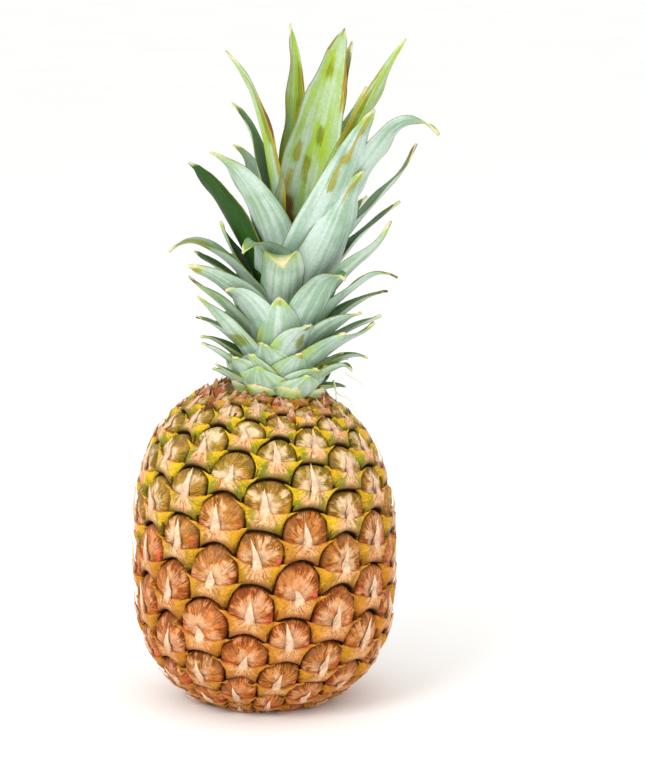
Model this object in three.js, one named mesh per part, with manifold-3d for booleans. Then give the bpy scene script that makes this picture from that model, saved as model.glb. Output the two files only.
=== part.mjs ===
// A whole ripe pineapple standing upright: the fruit with its spirals of eyes, the cut end of the
// stalk it grew on, and the leafy crown. Millimetres, +Z up, origin at the centre of the stalk's
// cut face, which is level with the rim that the fruit stands on.

import * as THREE from 'three';
import { mergeVertices } from 'three/addons/utils/BufferGeometryUtils.js';
import Module from 'manifold-3d';

const wasm = await Module();
wasm.setup();

const { cos, sin, sqrt, abs, min, max, pow, floor, PI } = Math;
const RADIANS = PI / 180;
const GAP = 0.3; // left between solids that touch

// ---- Driving dimensions -------------------------------------------------------------------

const FRUIT = {
  radius: 61, // over the eyes, where it is widest
  widestAt: 66, // height of the widest ring
  seatAt: 148, // height of the seat of the crown
  lean: 4.5 * RADIANS, // the seat slopes down to +X by this much
  leanFrom: 80, // the lean starts at this height
  leanAbout: 125, // and turns about this one
  reachUp: 86, // how far above the widest ring the barrel would close if it weren't cut at the seat
  reachDown: 72.4, // and how far below it, if it weren't flat where it stands
  squareness: 3, // power of the barrel's outline: 2 is an ellipse
};

const EYES = {
  divergence: -99.764 * RADIANS, // turn from one eye to the next: 7, 11 and 18 spirals
  rise: 1.35, // climb from one eye to the next at the widest ring
  firstAzimuth: -87.5 * RADIANS,
  firstHeight: 102.2,
  jitter: 2.4, // how far an eye may sit from its place on the spiral
  jitterDraw: 4980,
  spacing: 24.4, // between the middles of neighbours
  relief: 4.2, // from the bottom of a groove to the top of a bract
  reliefAtEnds: 0.35, // the share of it that would be left where the barrel closes
  lowest: -104, // numbers of the eyes at the two ends, both past where the fruit is cut
  highest: 76,
  dryFrom: 28, // from this eye up the bracts grow drier and longer
  dryBy: 46, // and from this one up there is little else
};

// How high each ring of a single eye stands, in millimetres above the groove round it.
const EYE_HEIGHTS = {
  rim: { right: 3.7, upperRight: 2.5, upperLeft: 2.5, left: 3.7, lowerLeft: 3.6, lowerRight: 3.6 },
  disc: { right: 3.1, upperRight: 3.4, upperLeft: 3.4, left: 3.1, lowerLeft: 4.2, lowerRight: 4.2 },
  pit: 3.2,
  spike: 5.6,
  spikeVaries: 0.8,
  drySpikeGains: 4.5,
};

// Where its rings lie, as shares of the way from its middle out to the corners of its cell, and
// how far its pit and its spike are above its middle, as shares of the step between rows of eyes.
const EYE_PLACES = {
  horn: 0.93,
  rim: 0.82,
  disc: 0.5,
  pit: -0.12,
  spike: 0.34,
  drySpike: 0.62,
  spikeAside: 0.1,
};

// The corners of the cell of an eye, anticlockwise from the right. Each is where three eyes meet:
// the lowest of them is numbered from this eye, and the other two from the lowest. After it comes
// a side, with the eye numbered `across` on the other side of it.
const CELL = [
  { role: 'right', lowest: -11, others: [11, 18], across: 7 },
  { role: 'upperRight', lowest: 0, others: [7, 18], across: 18 },
  { role: 'upperLeft', lowest: 0, others: [11, 18], across: 11 },
  { role: 'left', lowest: -7, others: [7, 18], across: -7 },
  { role: 'lowerLeft', lowest: -18, others: [11, 18], across: -18 },
  { role: 'lowerRight', lowest: -18, others: [7, 18], across: -11 },
];

const DISH = { radius: 25, depth: 5.5, shoulder: 3 }; // the hollow round the stalk, under the fruit
const STALK = { radius: 12.5, length: 15, bevel: 0.8, sides: 20 };

const CROWN = {
  offset: 4.2, // from the middle of its seat, towards +X
  tilt: 1 * RADIANS, // on top of the slope of its seat
  stemRadius: 20.5,
  stemTip: 4,
  stemHeight: 76,
  stemSides: 14,
};

const BLADE = {
  rootThickness: 2.4,
  tipThickness: 1.1,
  edgeThickness: 0.8,
  rootDepth: [1, 4.5], // how far a root reaches into the stem, for the shortest and for long ones
  rootLength: [12, 45], // lengths of those two
  substeps: 72, // the midrib is summed in this many steps
  rootWidth: 0.62, // as shares of the widest
  tipWidth: 0.025,
  widest: 0.22, // where it is widest and where the hook starts, as shares of the length
  hookFrom: 0.7,
  taper: 1.7, // powers: how late the width and the lean change
  arch: 1.4,
  rootCup: 0.24, // how far the edges are cupped in, as shares of the width
  tipCup: 0.15,
};

// The leaves that show from the front, from the lowest scale to the heart: azimuth, height of
// the root, length, width, lean from upright at the root and at the tip, sideways bend, twist,
// and how far the very tip hooks over. Millimetres and degrees.
const FRONT_LEAVES = [
  [-112, 0, 12, 26, 21, 23, -7, 1, 3],
  [-51, 0, 16, 26, 22, 41, 4, -5, 12],
  [-137, 2, 17, 23, 30, 43, -7, 18, 13],
  [-125, 3, 16, 24, 19, 27, 8, -4, 9],
  [-65, 5, 16, 25, 13, 18, 1, -5, 9],
  [-39, 7, 33, 21, 33, 55, 1, -15, -5],
  [-21, 9, 42, 16, 40, 69, -1, -3, -27],
  [-150, 10, 46, 21, 42, 48, -1, 6, 5],
  [-116, 11, 13, 27, 15, 28, 6, 0, 2],
  [-68, 13, 25, 23, 15, 24, 4, 7, 27],
  [-5, 14, 41, 16, 44, 67, -1, 3, -5],
  [-31, 15, 39, 20, 34, 60, 3, -14, 14],
  [-97, 16, 30, 22, 9, 24, -1, -1, 20],
  [-129, 18, 40, 25, 25, 52, -17, 19, 39],
  [-167, 20, 46, 19, 45, 62, -1, 9, -10],
  [-50, 20, 49, 24, 25, 31, 3, -12, 74],
  [5, 20, 47, 17, 40, 62, 2, 4, 15],
  [-16, 23, 59, 17, 33, 57, -4, 4, 51],
  [-149, 26, 52, 24, 41, 71, -5, 33, 8],
  [-29, 29, 70, 18, 33, 54, 0, -14, -37],
  [-51, 31, 86, 28, 27, 18, -2, -20, 24],
  [177, 31, 46, 16, 42, 66, 2, -8, -6],
  [-100, 32, 45, 21, 13, 57, 9, 9, 106],
  [-168, 33, 63, 20, 31, 90, 0, -8, 50],
  [175, 34, 48, 20, 36, 29, 1, -6, -3],
  [9, 35, 70, 15, 28, 48, 2, 2, 5],
  [177, 37, 77, 28, 27, 41, -7, 53, 14],
  [-111, 38, 50, 25, 15, 77, -21, -3, 84],
  [8, 41, 91, 17, 29, 44, 0, 0, -25],
  [-29, 43, 129, 24, 22, 48, -20, -35, 73],
  [-141, 45, 78, 28, 13, 58, -10, 20, 8],
  [-48, 45, 104, 29, 28, 24, -9, -20, 16],
  [152, 46, 90, 21, 11, 29, -1, 3, 23],
  [139, 47, 120, 22, -3, 9, 3, -6, 6],
  [-178, 48, 112, 19, 4, 32, 0, 26, 14],
  [-31, 51, 129, 23, 19, 29, -12, -29, 7],
  [36, 54, 92, 18, 13, 25, -6, -1, -5],
  [63, 57, 108, 24, 15, 10, -10, 10, -16],
  [101, 57, 114, 31, 0, 13, -18, 3, 14],
];

// The rest climb the stem by the golden section: a ring of short scales right round its foot,
// then longer blades at the back.
const OTHER_LEAVES = {
  goldenSection: 0.618034,
  scales: 9,
  lowestScale: -2,
  highestScale: 4,
  blades: 18,
  middle: 92, // azimuth that the blades spread out from
  reach: [100, 56], // to either side of it, low down and higher up
  lowestBlade: 3,
  highestBlade: 46,
};

const COLOURS = { fruit: 0xb98a3c, stalk: 0xd9c9a0, crown: 0x93b597 };

// ---- Small tools --------------------------------------------------------------------------

// A repeatable draw between 0 and 1 for leaf or eye number i.
function draw(i, k) {
  const s = sin(i * 12.9898 + k * 78.233 + 4.1) * 43758.5453;
  return s - floor(s);
}

// The same draw between -1 and 1.
const spread = (i, k) => 2 * draw(i, k) - 1;

function smooth(from, to, x) {
  const t = min(1, max(0, (x - from) / (to - from)));
  return t * t * (3 - 2 * t);
}

const mix = (a, b, t) => a + (b - a) * t;

function bufferGeometry(points, triangles) {
  const geometry = new THREE.BufferGeometry();
  geometry.setAttribute('position', new THREE.Float32BufferAttribute(points.flat(), 3));
  geometry.setIndex(triangles.flat());
  return geometry;
}

function solidOf(geometry) {
  const bare = geometry.clone();
  bare.deleteAttribute('normal');
  bare.deleteAttribute('uv');
  const merged = mergeVertices(bare, 1e-4);
  return new wasm.Manifold(new wasm.Mesh({
    numProp: 3,
    vertProperties: new Float32Array(merged.attributes.position.array),
    triVerts: new Uint32Array(merged.index.array),
  }));
}

function geometryOf(solid) {
  const { numProp, numVert, vertProperties, triVerts } = solid.getMesh();
  const positions = new Float32Array(numVert * 3);
  for (let i = 0; i < numVert; i++) {
    positions.set(vertProperties.subarray(i * numProp, i * numProp + 3), i * 3);
  }
  const geometry = new THREE.BufferGeometry();
  geometry.setAttribute('position', new THREE.BufferAttribute(positions, 3));
  geometry.setIndex(new THREE.BufferAttribute(new Uint32Array(triVerts), 1));
  geometry.computeVertexNormals();
  return geometry;
}

// A solid turned about the Z axis from [radius, height] pairs that start and end on the axis.
function turned(profile, sides) {
  const lathe = new THREE.LatheGeometry(profile.map(([r, z]) => new THREE.Vector2(r, z)), sides);
  return solidOf(lathe.rotateX(PI / 2));
}

function block(width, bottom, top) {
  const geometry = new THREE.BoxGeometry(width, width, top - bottom);
  return geometry.translate(0, 0, (top + bottom) / 2);
}

function namedMesh(name, solid) {
  const material = new THREE.MeshStandardMaterial({ color: COLOURS[name], roughness: 0.7, metalness: 0 });
  const mesh = new THREE.Mesh(geometryOf(solid), material);
  mesh.name = name;
  return mesh;
}

// ---- The fruit ----------------------------------------------------------------------------

// The barrel's outline as rows of { climb, radius, height, out, up }. Climb is the sum of path
// length over radius, so equal steps of climb and of azimuth make square cells at every height.
// (out, up) is the outline's normal.
function barrelOutline(samples) {
  const rows = [];
  for (let i = 1; i < samples; i++) {
    const q = (2 * i) / samples - 1;
    const share = q * (2 - abs(q));
    const reach = q < 0 ? FRUIT.reachDown : FRUIT.reachUp;
    const radius = FRUIT.radius * sqrt(1 - pow(abs(share), FRUIT.squareness));
    rows.push({ radius, height: FRUIT.widestAt + reach * share });
  }
  rows.forEach((row, i) => {
    const before = rows[max(0, i - 1)];
    const after = rows[min(rows.length - 1, i + 1)];
    const step = Math.hypot(after.radius - before.radius, after.height - before.height);
    row.out = (after.height - before.height) / step;
    row.up = (before.radius - after.radius) / step;
    const length = Math.hypot(row.radius - before.radius, row.height - before.height);
    row.climb = i === 0 ? 0 : before.climb + (2 * length) / (row.radius + before.radius);
  });
  return rows;
}

const OUTLINE = barrelOutline(4000);

// The row of the outline at a value of one of its rising columns.
function outlineAt(column, value) {
  let low = 0;
  let high = OUTLINE.length - 1;
  while (high - low > 1) {
    const middle = (low + high) >> 1;
    if (OUTLINE[middle][column] > value) high = middle;
    else low = middle;
  }
  const t = (value - OUTLINE[low][column]) / (OUTLINE[high][column] - OUTLINE[low][column]);
  const row = {};
  for (const key of ['climb', 'radius', 'height', 'out', 'up']) {
    row[key] = mix(OUTLINE[low][key], OUTLINE[high][key], t);
  }
  return row;
}

const FIRST_CLIMB = outlineAt('height', EYES.firstHeight).climb;

// Eye number i as [azimuth, climb], close to the spiral that every eye sits on.
function eyePlace(i) {
  const aside = EYES.jitter * spread(i, EYES.jitterDraw);
  const above = EYES.jitter * spread(i, EYES.jitterDraw + 1);
  return [
    EYES.firstAzimuth + i * EYES.divergence + aside / FRUIT.radius,
    FIRST_CLIMB + (i * EYES.rise + above) / FRUIT.radius,
  ];
}

// The shortest turn that has the same direction as this one.
const shortest = (turn) => turn - 2 * PI * Math.round(turn / (2 * PI));

// The middle of eye i and of the two others that it meets at a corner.
function cornerPlace(i, others) {
  const centre = eyePlace(i);
  const corner = [...centre];
  for (const step of others) {
    const place = eyePlace(i + step);
    corner[0] += shortest(place[0] - centre[0]) / 3;
    corner[1] += (place[1] - centre[1]) / 3;
  }
  return corner;
}

// The top of the barrel leans over a little, so points are turned about the Y axis by more and
// more on the way up.
function leanOver([x, y, z]) {
  const angle = FRUIT.lean * smooth(FRUIT.leanFrom, FRUIT.seatAt, z);
  const rise = z - FRUIT.leanAbout;
  return [x * cos(angle) + rise * sin(angle), y, FRUIT.leanAbout + rise * cos(angle) - x * sin(angle)];
}

// From a frame that stands on the seat of the crown to the pineapple's own.
function seatFrame(gap) {
  const [x, y, z] = leanOver([0, 0, FRUIT.seatAt]);
  const turn = new THREE.Matrix4().makeRotationY(FRUIT.lean);
  return new THREE.Matrix4().makeTranslation(x, y, z).multiply(turn)
    .multiply(new THREE.Matrix4().makeTranslation(0, 0, gap));
}

// A point of the rind: height is measured up from the grooves, and shrinks with the eyes.
function rindPoint([azimuth, climb], height) {
  const row = outlineAt('climb', climb);
  const scale = mix(EYES.reliefAtEnds, 1, row.radius / FRUIT.radius);
  const offset = (height - EYES.relief) * scale;
  const radius = row.radius + row.out * offset;
  return leanOver([radius * cos(azimuth), radius * sin(azimuth), row.height + row.up * offset]);
}

// The points of the rind with their triangles. Corners are shared by the cells that meet there.
class Rind {
  constructor() {
    this.points = [];
    this.triangles = [];
    this.corners = new Map();
    this.south = this.points.push([0, 0, FRUIT.widestAt - FRUIT.reachDown - 2]) - 1;
    this.north = this.points.push([0, 0, FRUIT.widestAt + FRUIT.reachUp + 2]) - 1;
  }

  add(place, height) {
    return this.points.push(rindPoint(place, height)) - 1;
  }

  corner(lowest, others) {
    const key = `${lowest} ${others}`;
    if (!this.corners.has(key)) this.corners.set(key, this.add(cornerPlace(lowest, others), 0));
    return this.corners.get(key);
  }
}

// One corner of the cell of eye i, with the points of the rim and the disc on the way to it.
function eyeSpoke(rind, i, { role, lowest, others, across }) {
  const centre = eyePlace(i);
  const end = cornerPlace(i + lowest, others);
  const turn = shortest(end[0] - centre[0]);
  const towards = (share) => [centre[0] + turn * share, mix(centre[1], end[1], share)];
  const rimShare = role === 'right' || role === 'left' ? EYE_PLACES.horn : EYE_PLACES.rim;
  return {
    corner: rind.corner(i + lowest, others),
    rim: rind.add(towards(rimShare), EYE_HEIGHTS.rim[role]),
    disc: rind.add(towards(EYE_PLACES.disc), EYE_HEIGHTS.disc[role]),
    across: i + across,
  };
}

// An eye is a six-sided cell between grooves. Its rim, its disc, the pit in its middle and the
// spike of its bract are raised from the barrel. The topmost eyes are mostly dry pointed bracts.
function addEye(rind, i) {
  const { triangles } = rind;
  const centre = eyePlace(i);
  const rowStep = (sqrt(3) / 2) * (EYES.spacing / FRUIT.radius);
  const dry = smooth(EYES.dryFrom, EYES.dryBy, i);
  const above = mix(EYE_PLACES.spike, EYE_PLACES.drySpike, dry);
  const aside = EYE_PLACES.spikeAside * spread(i, 1);
  const height = EYE_HEIGHTS.spike + EYE_HEIGHTS.spikeVaries * spread(i, 2) + EYE_HEIGHTS.drySpikeGains * dry;
  const spokes = CELL.map((corner) => eyeSpoke(rind, i, corner));
  const pit = rind.add([centre[0], centre[1] + EYE_PLACES.pit * rowStep], EYE_HEIGHTS.pit);
  const spike = rind.add([centre[0] + aside * rowStep, centre[1] + above * rowStep], height);

  spokes.forEach((a, n) => {
    const b = spokes[(n + 1) % 6];
    const middle = n < 3 ? spike : pit;
    triangles.push([a.corner, b.corner, b.rim], [a.corner, b.rim, a.rim]);
    triangles.push([a.rim, b.rim, b.disc], [a.rim, b.disc, a.disc], [a.disc, b.disc, middle]);
    if (a.across < EYES.lowest) triangles.push([b.corner, a.corner, rind.south]);
    if (a.across > EYES.highest) triangles.push([b.corner, a.corner, rind.north]);
  });
  triangles.push([spokes[3].disc, pit, spike], [pit, spokes[0].disc, spike]);
}

function rindSolid() {
  const rind = new Rind();
  for (let i = EYES.lowest; i <= EYES.highest; i++) addEye(rind, i);
  return solidOf(bufferGeometry(rind.points, rind.triangles));
}

function fruitSolid() {
  const { radius, depth, shoulder } = DISH;
  const wide = 4 * FRUIT.radius;
  const hole = STALK.radius + GAP;
  const dish = turned([
    [0, -1], [radius, -1], [radius, 0], [radius - shoulder, depth * 0.55], [hole + shoulder, depth],
    [hole, depth], [hole, STALK.length + GAP], [0, STALK.length + GAP],
  ], STALK.sides);
  const belowSeat = block(wide, -wide, 0).applyMatrix4(seatFrame(0));
  return rindSolid().intersect(solidOf(belowSeat))
    .intersect(solidOf(block(wide, 0, wide))).subtract(dish);
}

function stalkSolid() {
  const { radius, length, bevel, sides } = STALK;
  return turned([[0, 0], [radius - bevel, 0], [radius, bevel], [radius, length], [0, length]], sides);
}

// Pockets shut in between crossing leaves are filled: only the outermost skin is kept.
function withoutHollows(solid) {
  return solid.decompose().reduce((a, b) => (a.volume() > b.volume() ? a : b));
}

// ---- The crown ----------------------------------------------------------------------------

// Radius of the crown's stem at a height above the seat.
const stemRadius = (z) => mix(CROWN.stemRadius, CROWN.stemTip, pow(max(0, z) / CROWN.stemHeight, 0.9));

function namedLeaf([azimuth, root, length, width, leanAtRoot, leanAtTip, bend, twist, hook]) {
  return { azimuth, root, length, width, leanAtRoot, leanAtTip, bend, twist, hook };
}

function footScales() {
  const { goldenSection, scales, lowestScale, highestScale } = OTHER_LEAVES;
  return Array.from({ length: scales }, (_, k) => ({
    azimuth: 360 * (((k + 0.35) * goldenSection) % 1),
    root: mix(lowestScale, highestScale, k / (scales - 1)),
    length: 14 + 1.5 * spread(k, 11),
    width: 28,
    leanAtRoot: 46 + 4 * spread(k, 12),
    leanAtTip: 12 + 6 * spread(k, 13),
    bend: 0,
    twist: 5 * spread(k, 14),
    hook: 0,
  }));
}

function backBlades() {
  const { goldenSection, blades, middle, reach, lowestBlade, highestBlade } = OTHER_LEAVES;
  return Array.from({ length: blades }, (_, k) => {
    const rise = k / (blades - 1);
    const around = 2 * ((k * goldenSection) % 1) - 1;
    return {
      azimuth: middle + around * mix(reach[0], reach[1], smooth(0, 0.4, rise)),
      root: mix(lowestBlade, highestBlade, rise),
      length: 19 + 60 * pow(rise, 1.2) + 5 * spread(k, 4),
      width: 23 + 2 * spread(k, 5) - 2 * rise,
      leanAtRoot: 26 - 6 * rise + 5 * spread(k, 6),
      leanAtTip: 42 + 14 * sin(PI * rise) + 9 * spread(k, 7),
      bend: 6 * spread(k, 8),
      twist: 12 * spread(k, 9),
      hook: 20 + 28 * spread(k, 10),
    };
  });
}

// Long leaves and hooked ones are split into more segments.
function segmentCount(leaf) {
  const asked = Math.round(1.5 + leaf.length / 18 + abs(leaf.hook) / 60);
  return min(8, max(4, asked));
}

// The middle line of a leaf, as { at, along, out, side } at every substep, in the crown's frame.
function midrib(leaf) {
  const steps = BLADE.substeps;
  const azimuth = leaf.azimuth * RADIANS;
  const [shallow, deep] = BLADE.rootDepth;
  const start = stemRadius(leaf.root) - mix(shallow, deep, smooth(...BLADE.rootLength, leaf.length));
  const at = new THREE.Vector3(start * cos(azimuth), start * sin(azimuth), leaf.root);
  const rows = [];
  for (let j = 0; j <= steps; j++) {
    const t = j / steps;
    const arch = mix(leaf.leanAtRoot, leaf.leanAtTip, pow(t, BLADE.arch));
    const lean = (arch + leaf.hook * smooth(BLADE.hookFrom, 1, t)) * RADIANS;
    const along = new THREE.Vector3(sin(lean) * cos(azimuth), sin(lean) * sin(azimuth), cos(lean));
    const out = new THREE.Vector3(cos(lean) * cos(azimuth), cos(lean) * sin(azimuth), -sin(lean));
    const side = new THREE.Vector3(-sin(azimuth), cos(azimuth), 0);
    const bend = -leaf.bend * t * RADIANS;
    along.applyAxisAngle(out, bend);
    side.applyAxisAngle(out, bend);
    const twist = leaf.twist * t * RADIANS;
    out.applyAxisAngle(along, twist);
    side.applyAxisAngle(along, twist);
    rows.push({ at: at.clone(), along, out, side });
    at.addScaledVector(along, leaf.length / steps);
  }
  return rows;
}

// The blade's width as a share of its widest: clasping at the root, then drawn out to a point.
function widthShare(t) {
  const { rootWidth, tipWidth, widest, taper } = BLADE;
  if (t < widest) return mix(rootWidth, 1, sin((PI / 2) * (t / widest)));
  return mix(1, tipWidth, pow((t - widest) / (1 - widest), taper));
}

// The six points of a blade's section at t: three across its outer face, then three across its
// inner one. It is cupped towards the stem.
function bladeSection(leaf, t, { at, out, side }) {
  const width = leaf.width * widthShare(t);
  const cup = mix(BLADE.rootCup, BLADE.tipCup, t);
  const middle = mix(BLADE.rootThickness, BLADE.tipThickness, t);
  const points = [];
  for (const face of [1, -1]) {
    for (const u of [-1, 0, 1]) {
      const thickness = u === 0 ? middle : BLADE.edgeThickness;
      const normal = out.clone().addScaledVector(side, 4 * cup * u).normalize();
      const p = at.clone()
        .addScaledVector(side, (width / 2) * u)
        .addScaledVector(out, -cup * width * u * u)
        .addScaledVector(normal, (face * thickness) / 2);
      points.push([p.x, p.y, p.z]);
    }
  }
  return points;
}

// The sections joined up and closed at both ends. Both faces are split into triangles alike.
function leafGeometry(leaf, segments) {
  const rows = midrib(leaf);
  const points = [];
  for (let j = 0; j <= segments; j++) {
    const t = j / segments;
    points.push(...bladeSection(leaf, t, rows[Math.round(t * BLADE.substeps)]));
  }
  const triangles = [];
  const quad = (a, b, c, d) => triangles.push([a, b, c], [a, c, d]);
  const perRow = 6;
  for (let j = 0; j < segments; j++) {
    const low = j * perRow;
    const high = low + perRow;
    for (const a of [0, 1]) {
      quad(low + a, low + a + 1, high + a + 1, high + a);
      triangles.push([low + 3 + a, high + 4 + a, low + 4 + a], [low + 3 + a, high + 3 + a, high + 4 + a]);
    }
    quad(low + 2, low + 5, high + 5, high + 2);
    quad(low + 3, low, high, high + 3);
  }
  const cap = (first) => [[0, 3, 4], [0, 4, 1], [1, 4, 5], [1, 5, 2]].map((f) => f.map((n) => n + first));
  triangles.push(...cap(0), ...cap(segments * perRow).map(([a, b, c]) => [a, c, b]));
  return bufferGeometry(points, triangles);
}

function crownSolid() {
  const sunk = -4; // cut off again below, level with the seat
  const sides = [0, 18, 40, 60].map((z) => [stemRadius(z), z]);
  const stem = turned([[0, sunk], [stemRadius(0), sunk], ...sides, [0, CROWN.stemHeight]], CROWN.stemSides);
  const leaves = [...FRONT_LEAVES.map(namedLeaf), ...footScales(), ...backBlades()];
  const blades = leaves.map((leaf) => solidOf(leafGeometry(leaf, segmentCount(leaf))));
  const whole = geometryOf(wasm.Manifold.union([stem, ...blades])).rotateY(CROWN.tilt);
  const standing = solidOf(whole).intersect(solidOf(block(400, 0, 400)));
  const seated = geometryOf(withoutHollows(standing)).translate(CROWN.offset, 0, 0);
  return solidOf(seated.applyMatrix4(seatFrame(GAP)));
}

// ---- The pineapple ------------------------------------------------------------------------

const pineapple = new THREE.Group();
pineapple.add(namedMesh('fruit', fruitSolid()));
pineapple.add(namedMesh('stalk', stalkSolid()));
pineapple.add(namedMesh('crown', crownSolid()));

export default pineapple;
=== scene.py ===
"""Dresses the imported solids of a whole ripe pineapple: the rind with its eyes and their bracts, the
cut stalk, and the leafy crown. It is laid out as an add-on and run as a script.

Shapes are worked out in millimetres and become metres in make_piece. The properties are in metres,
as Blender keeps them.
"""

import math

import bpy
import numpy as np
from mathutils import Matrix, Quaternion, Vector


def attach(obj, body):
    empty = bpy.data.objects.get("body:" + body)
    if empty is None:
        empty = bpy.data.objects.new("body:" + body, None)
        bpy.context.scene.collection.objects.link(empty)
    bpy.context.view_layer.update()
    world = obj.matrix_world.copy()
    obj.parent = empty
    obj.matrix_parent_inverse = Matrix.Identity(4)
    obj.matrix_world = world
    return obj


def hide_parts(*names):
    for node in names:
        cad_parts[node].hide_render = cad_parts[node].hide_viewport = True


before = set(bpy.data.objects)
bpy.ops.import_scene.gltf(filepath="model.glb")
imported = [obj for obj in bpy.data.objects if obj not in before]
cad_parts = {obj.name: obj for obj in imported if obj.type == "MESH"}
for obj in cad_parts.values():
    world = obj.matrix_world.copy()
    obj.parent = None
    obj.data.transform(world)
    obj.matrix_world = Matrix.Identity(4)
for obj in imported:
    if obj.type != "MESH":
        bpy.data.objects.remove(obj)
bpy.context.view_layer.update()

bl_info = {
    "name": "Ripe pineapple",
    "version": (1, 0, 0),
    "blender": (4, 5, 0),
    "location": "View3D > Sidebar > Pineapple",
    "description": "Builds the rind, bracts, stalk and crown of a pineapple round its solids",
    "category": "Object",
}

MM = 0.001
TURN = 2 * math.pi
WELD_REACH = 0.004  # points closer than about this, in millimetres, are made one

# ---- Sizes of the fruit's body, as in its solids ------------------------------------------------

RADIUS = 61.0  # over the eyes, where the fruit is widest
WIDEST_AT = 66.0
SEAT_AT = 148.0  # height of the seat of the crown
LEAN = math.radians(4.5)  # the seat slopes down to +X by this much
LEAN_FROM = 80.0  # the lean sets in above this height
LEAN_ABOUT = 125.0  # and turns the fruit about this one
REACH_UP = 86.0  # how far above the widest ring the barrel would close
REACH_DOWN = 72.4
SQUARENESS = 3.0  # power of the barrel's outline: 2 would be an ellipse

DIVERGENCE = math.radians(-99.764)  # turn from one eye to the next: 7, 11 and 18 spirals
RISE = 1.35  # climb from one eye to the next, at the widest ring
FIRST_AZIMUTH = math.radians(-87.5)
FIRST_HEIGHT = 102.2
JITTER = 2.4  # how far an eye may be from its place on the spiral, each way
JITTER_DRAW = 4980  # the draw that says how far
SPACING = 24.4  # from an eye to its neighbours
LOWEST_EYE = -108
HIGHEST_EYE = 76
JUST_UNDER = -0.2  # eyes that end below this height are left out
DRY_FROM = 44  # from this eye up the bracts grow drier and longer
DRY_BY = 62
STRAIGHT_ABOVE = 18  # the eye over this one is numbered this much higher
RIPENING = (122, 62)  # heights between which the eyes turn from green to brown
RELIEF_AT_ENDS = 0.35  # the share of the relief that would be left where the barrel closes
KNOB_HEIGHT = 0.45  # of the small knob behind a spike
EYE_RIPPLE = 0.3  # how far an eye's surface is uneven
BLUSH_SPOTS = ((0.66, 1.3), (-0.66, 0.8))  # how far aside they are, in eye radii, and how strong
SEAT_RISE = 2.0  # of the seat's rim, above the grooves
SEAT_SIDES = 96
HOLLOW_SIDES = 72

CELL_RADIUS = SPACING / RADIUS / math.sqrt(3)  # from the middle of an eye to a corner, as an angle

# The corners of an eye's cell, anticlockwise from the right. Each is where three eyes meet: the
# lowest of them is numbered from this eye, and the other two from the lowest. The last number is
# the eye across the side that follows.
CELL = (
    (-11, (11, 18), 7),
    (0, (7, 18), 18),
    (0, (11, 18), 11),
    (-7, (7, 18), -7),
    (-18, (11, 18), -18),
    (-18, (7, 18), -11),
)
LEFT_CORNER = 3
SIDE_STEPS = 7  # points along each side of a cell
CORNER_SHIFT = 0.17  # corners move aside and down by these shares of an eye's radius, so that a
CORNER_DROP = 0.07  # cell is broad at its head and foot
HEAD_BULGE = 0.2  # sides bulge upwards by these shares of their length, so that discs are round
FLANK_BULGE = 0.1

# Rings of points in an eye's cell, as shares of the way from its middle to its groove.
RING_SHARES = (0.1, 0.2, 0.32, 0.44, 0.55, 0.65, 0.74, 0.81, 0.87, 0.92, 0.96, 1.0)

DISH_RADIUS = 25.0  # the hollow round the stalk
DISH_DEPTH = 5.5
DISH_SHOULDER = 3.0
DISH_SKIRT = ((35.5, 5.6), (31.5, 3.0), (28.5, 1.8))  # behind the grooves of the lowest eyes
STALK_RADIUS = 12.5
STALK_LENGTH = 15.0
GAP = 0.3

# ---- Sizes of the crown, as in its solid --------------------------------------------------------

CROWN_OFFSET = 4.2  # towards +X, from the middle of the seat
CROWN_TILT = math.radians(1)  # further than the seat
STEM_RADIUS = 20.5  # at its foot and at its tip
STEM_TIP = 4.0
STEM_HEIGHT = 76.0
STEM_SIDES = 64

ROOT_DEPTH = (1.0, 4.5)  # how far a root reaches into the stem, for the shortest and for long leaves
ROOT_LENGTH = (12.0, 45.0)  # lengths of those two
WIDEST_SHARE = 0.22  # where a leaf is widest and where its hook starts, as shares of its length
HOOK_FROM = 0.7
ROOT_WIDTH = 0.62  # as shares of the widest
TIP_WIDTH = 0.025
TAPER = 1.7  # powers: how late the width and the lean change
ARCH = 1.4
ROOT_CUP = 0.24  # how far the edges are cupped in, as shares of the width
TIP_CUP = 0.15
BLUNT = 3.2  # the taper of the cream scales
WAVE_SPAN = 9  # about how many millimetres a wave of a leaf's edge takes
FURL = 0.3  # how much more the tip is cupped
SHORT = 36  # leaves shorter than this have yellow-green seams

GOLDEN_SECTION = 0.618034
FOOT_SCALES = 9
BACK_BLADES = 18
BACK_MIDDLE = 92  # azimuth that the back blades spread out from
BACK_REACH = (100, 56)  # how far to either side of it, low down and higher up

ALONG = 52  # steps along a leaf, and places across it
ACROSS = np.sin(np.linspace(-math.pi / 2, math.pi / 2, 13))
LEAF_LAYERS = ("blade", "margin", "dark", "yellow", "dry", "stain", "brown")
TIERS = {"low_leaves": (-9, 19), "middle_leaves": (19, 40), "heart_leaves": (40, 99)}  # by root height
LEAF_FIBRES = 24  # millimetres to a unit of the fibres' pattern
THREAD_STEPS = 32
THREAD_SIDES = 6

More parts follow.
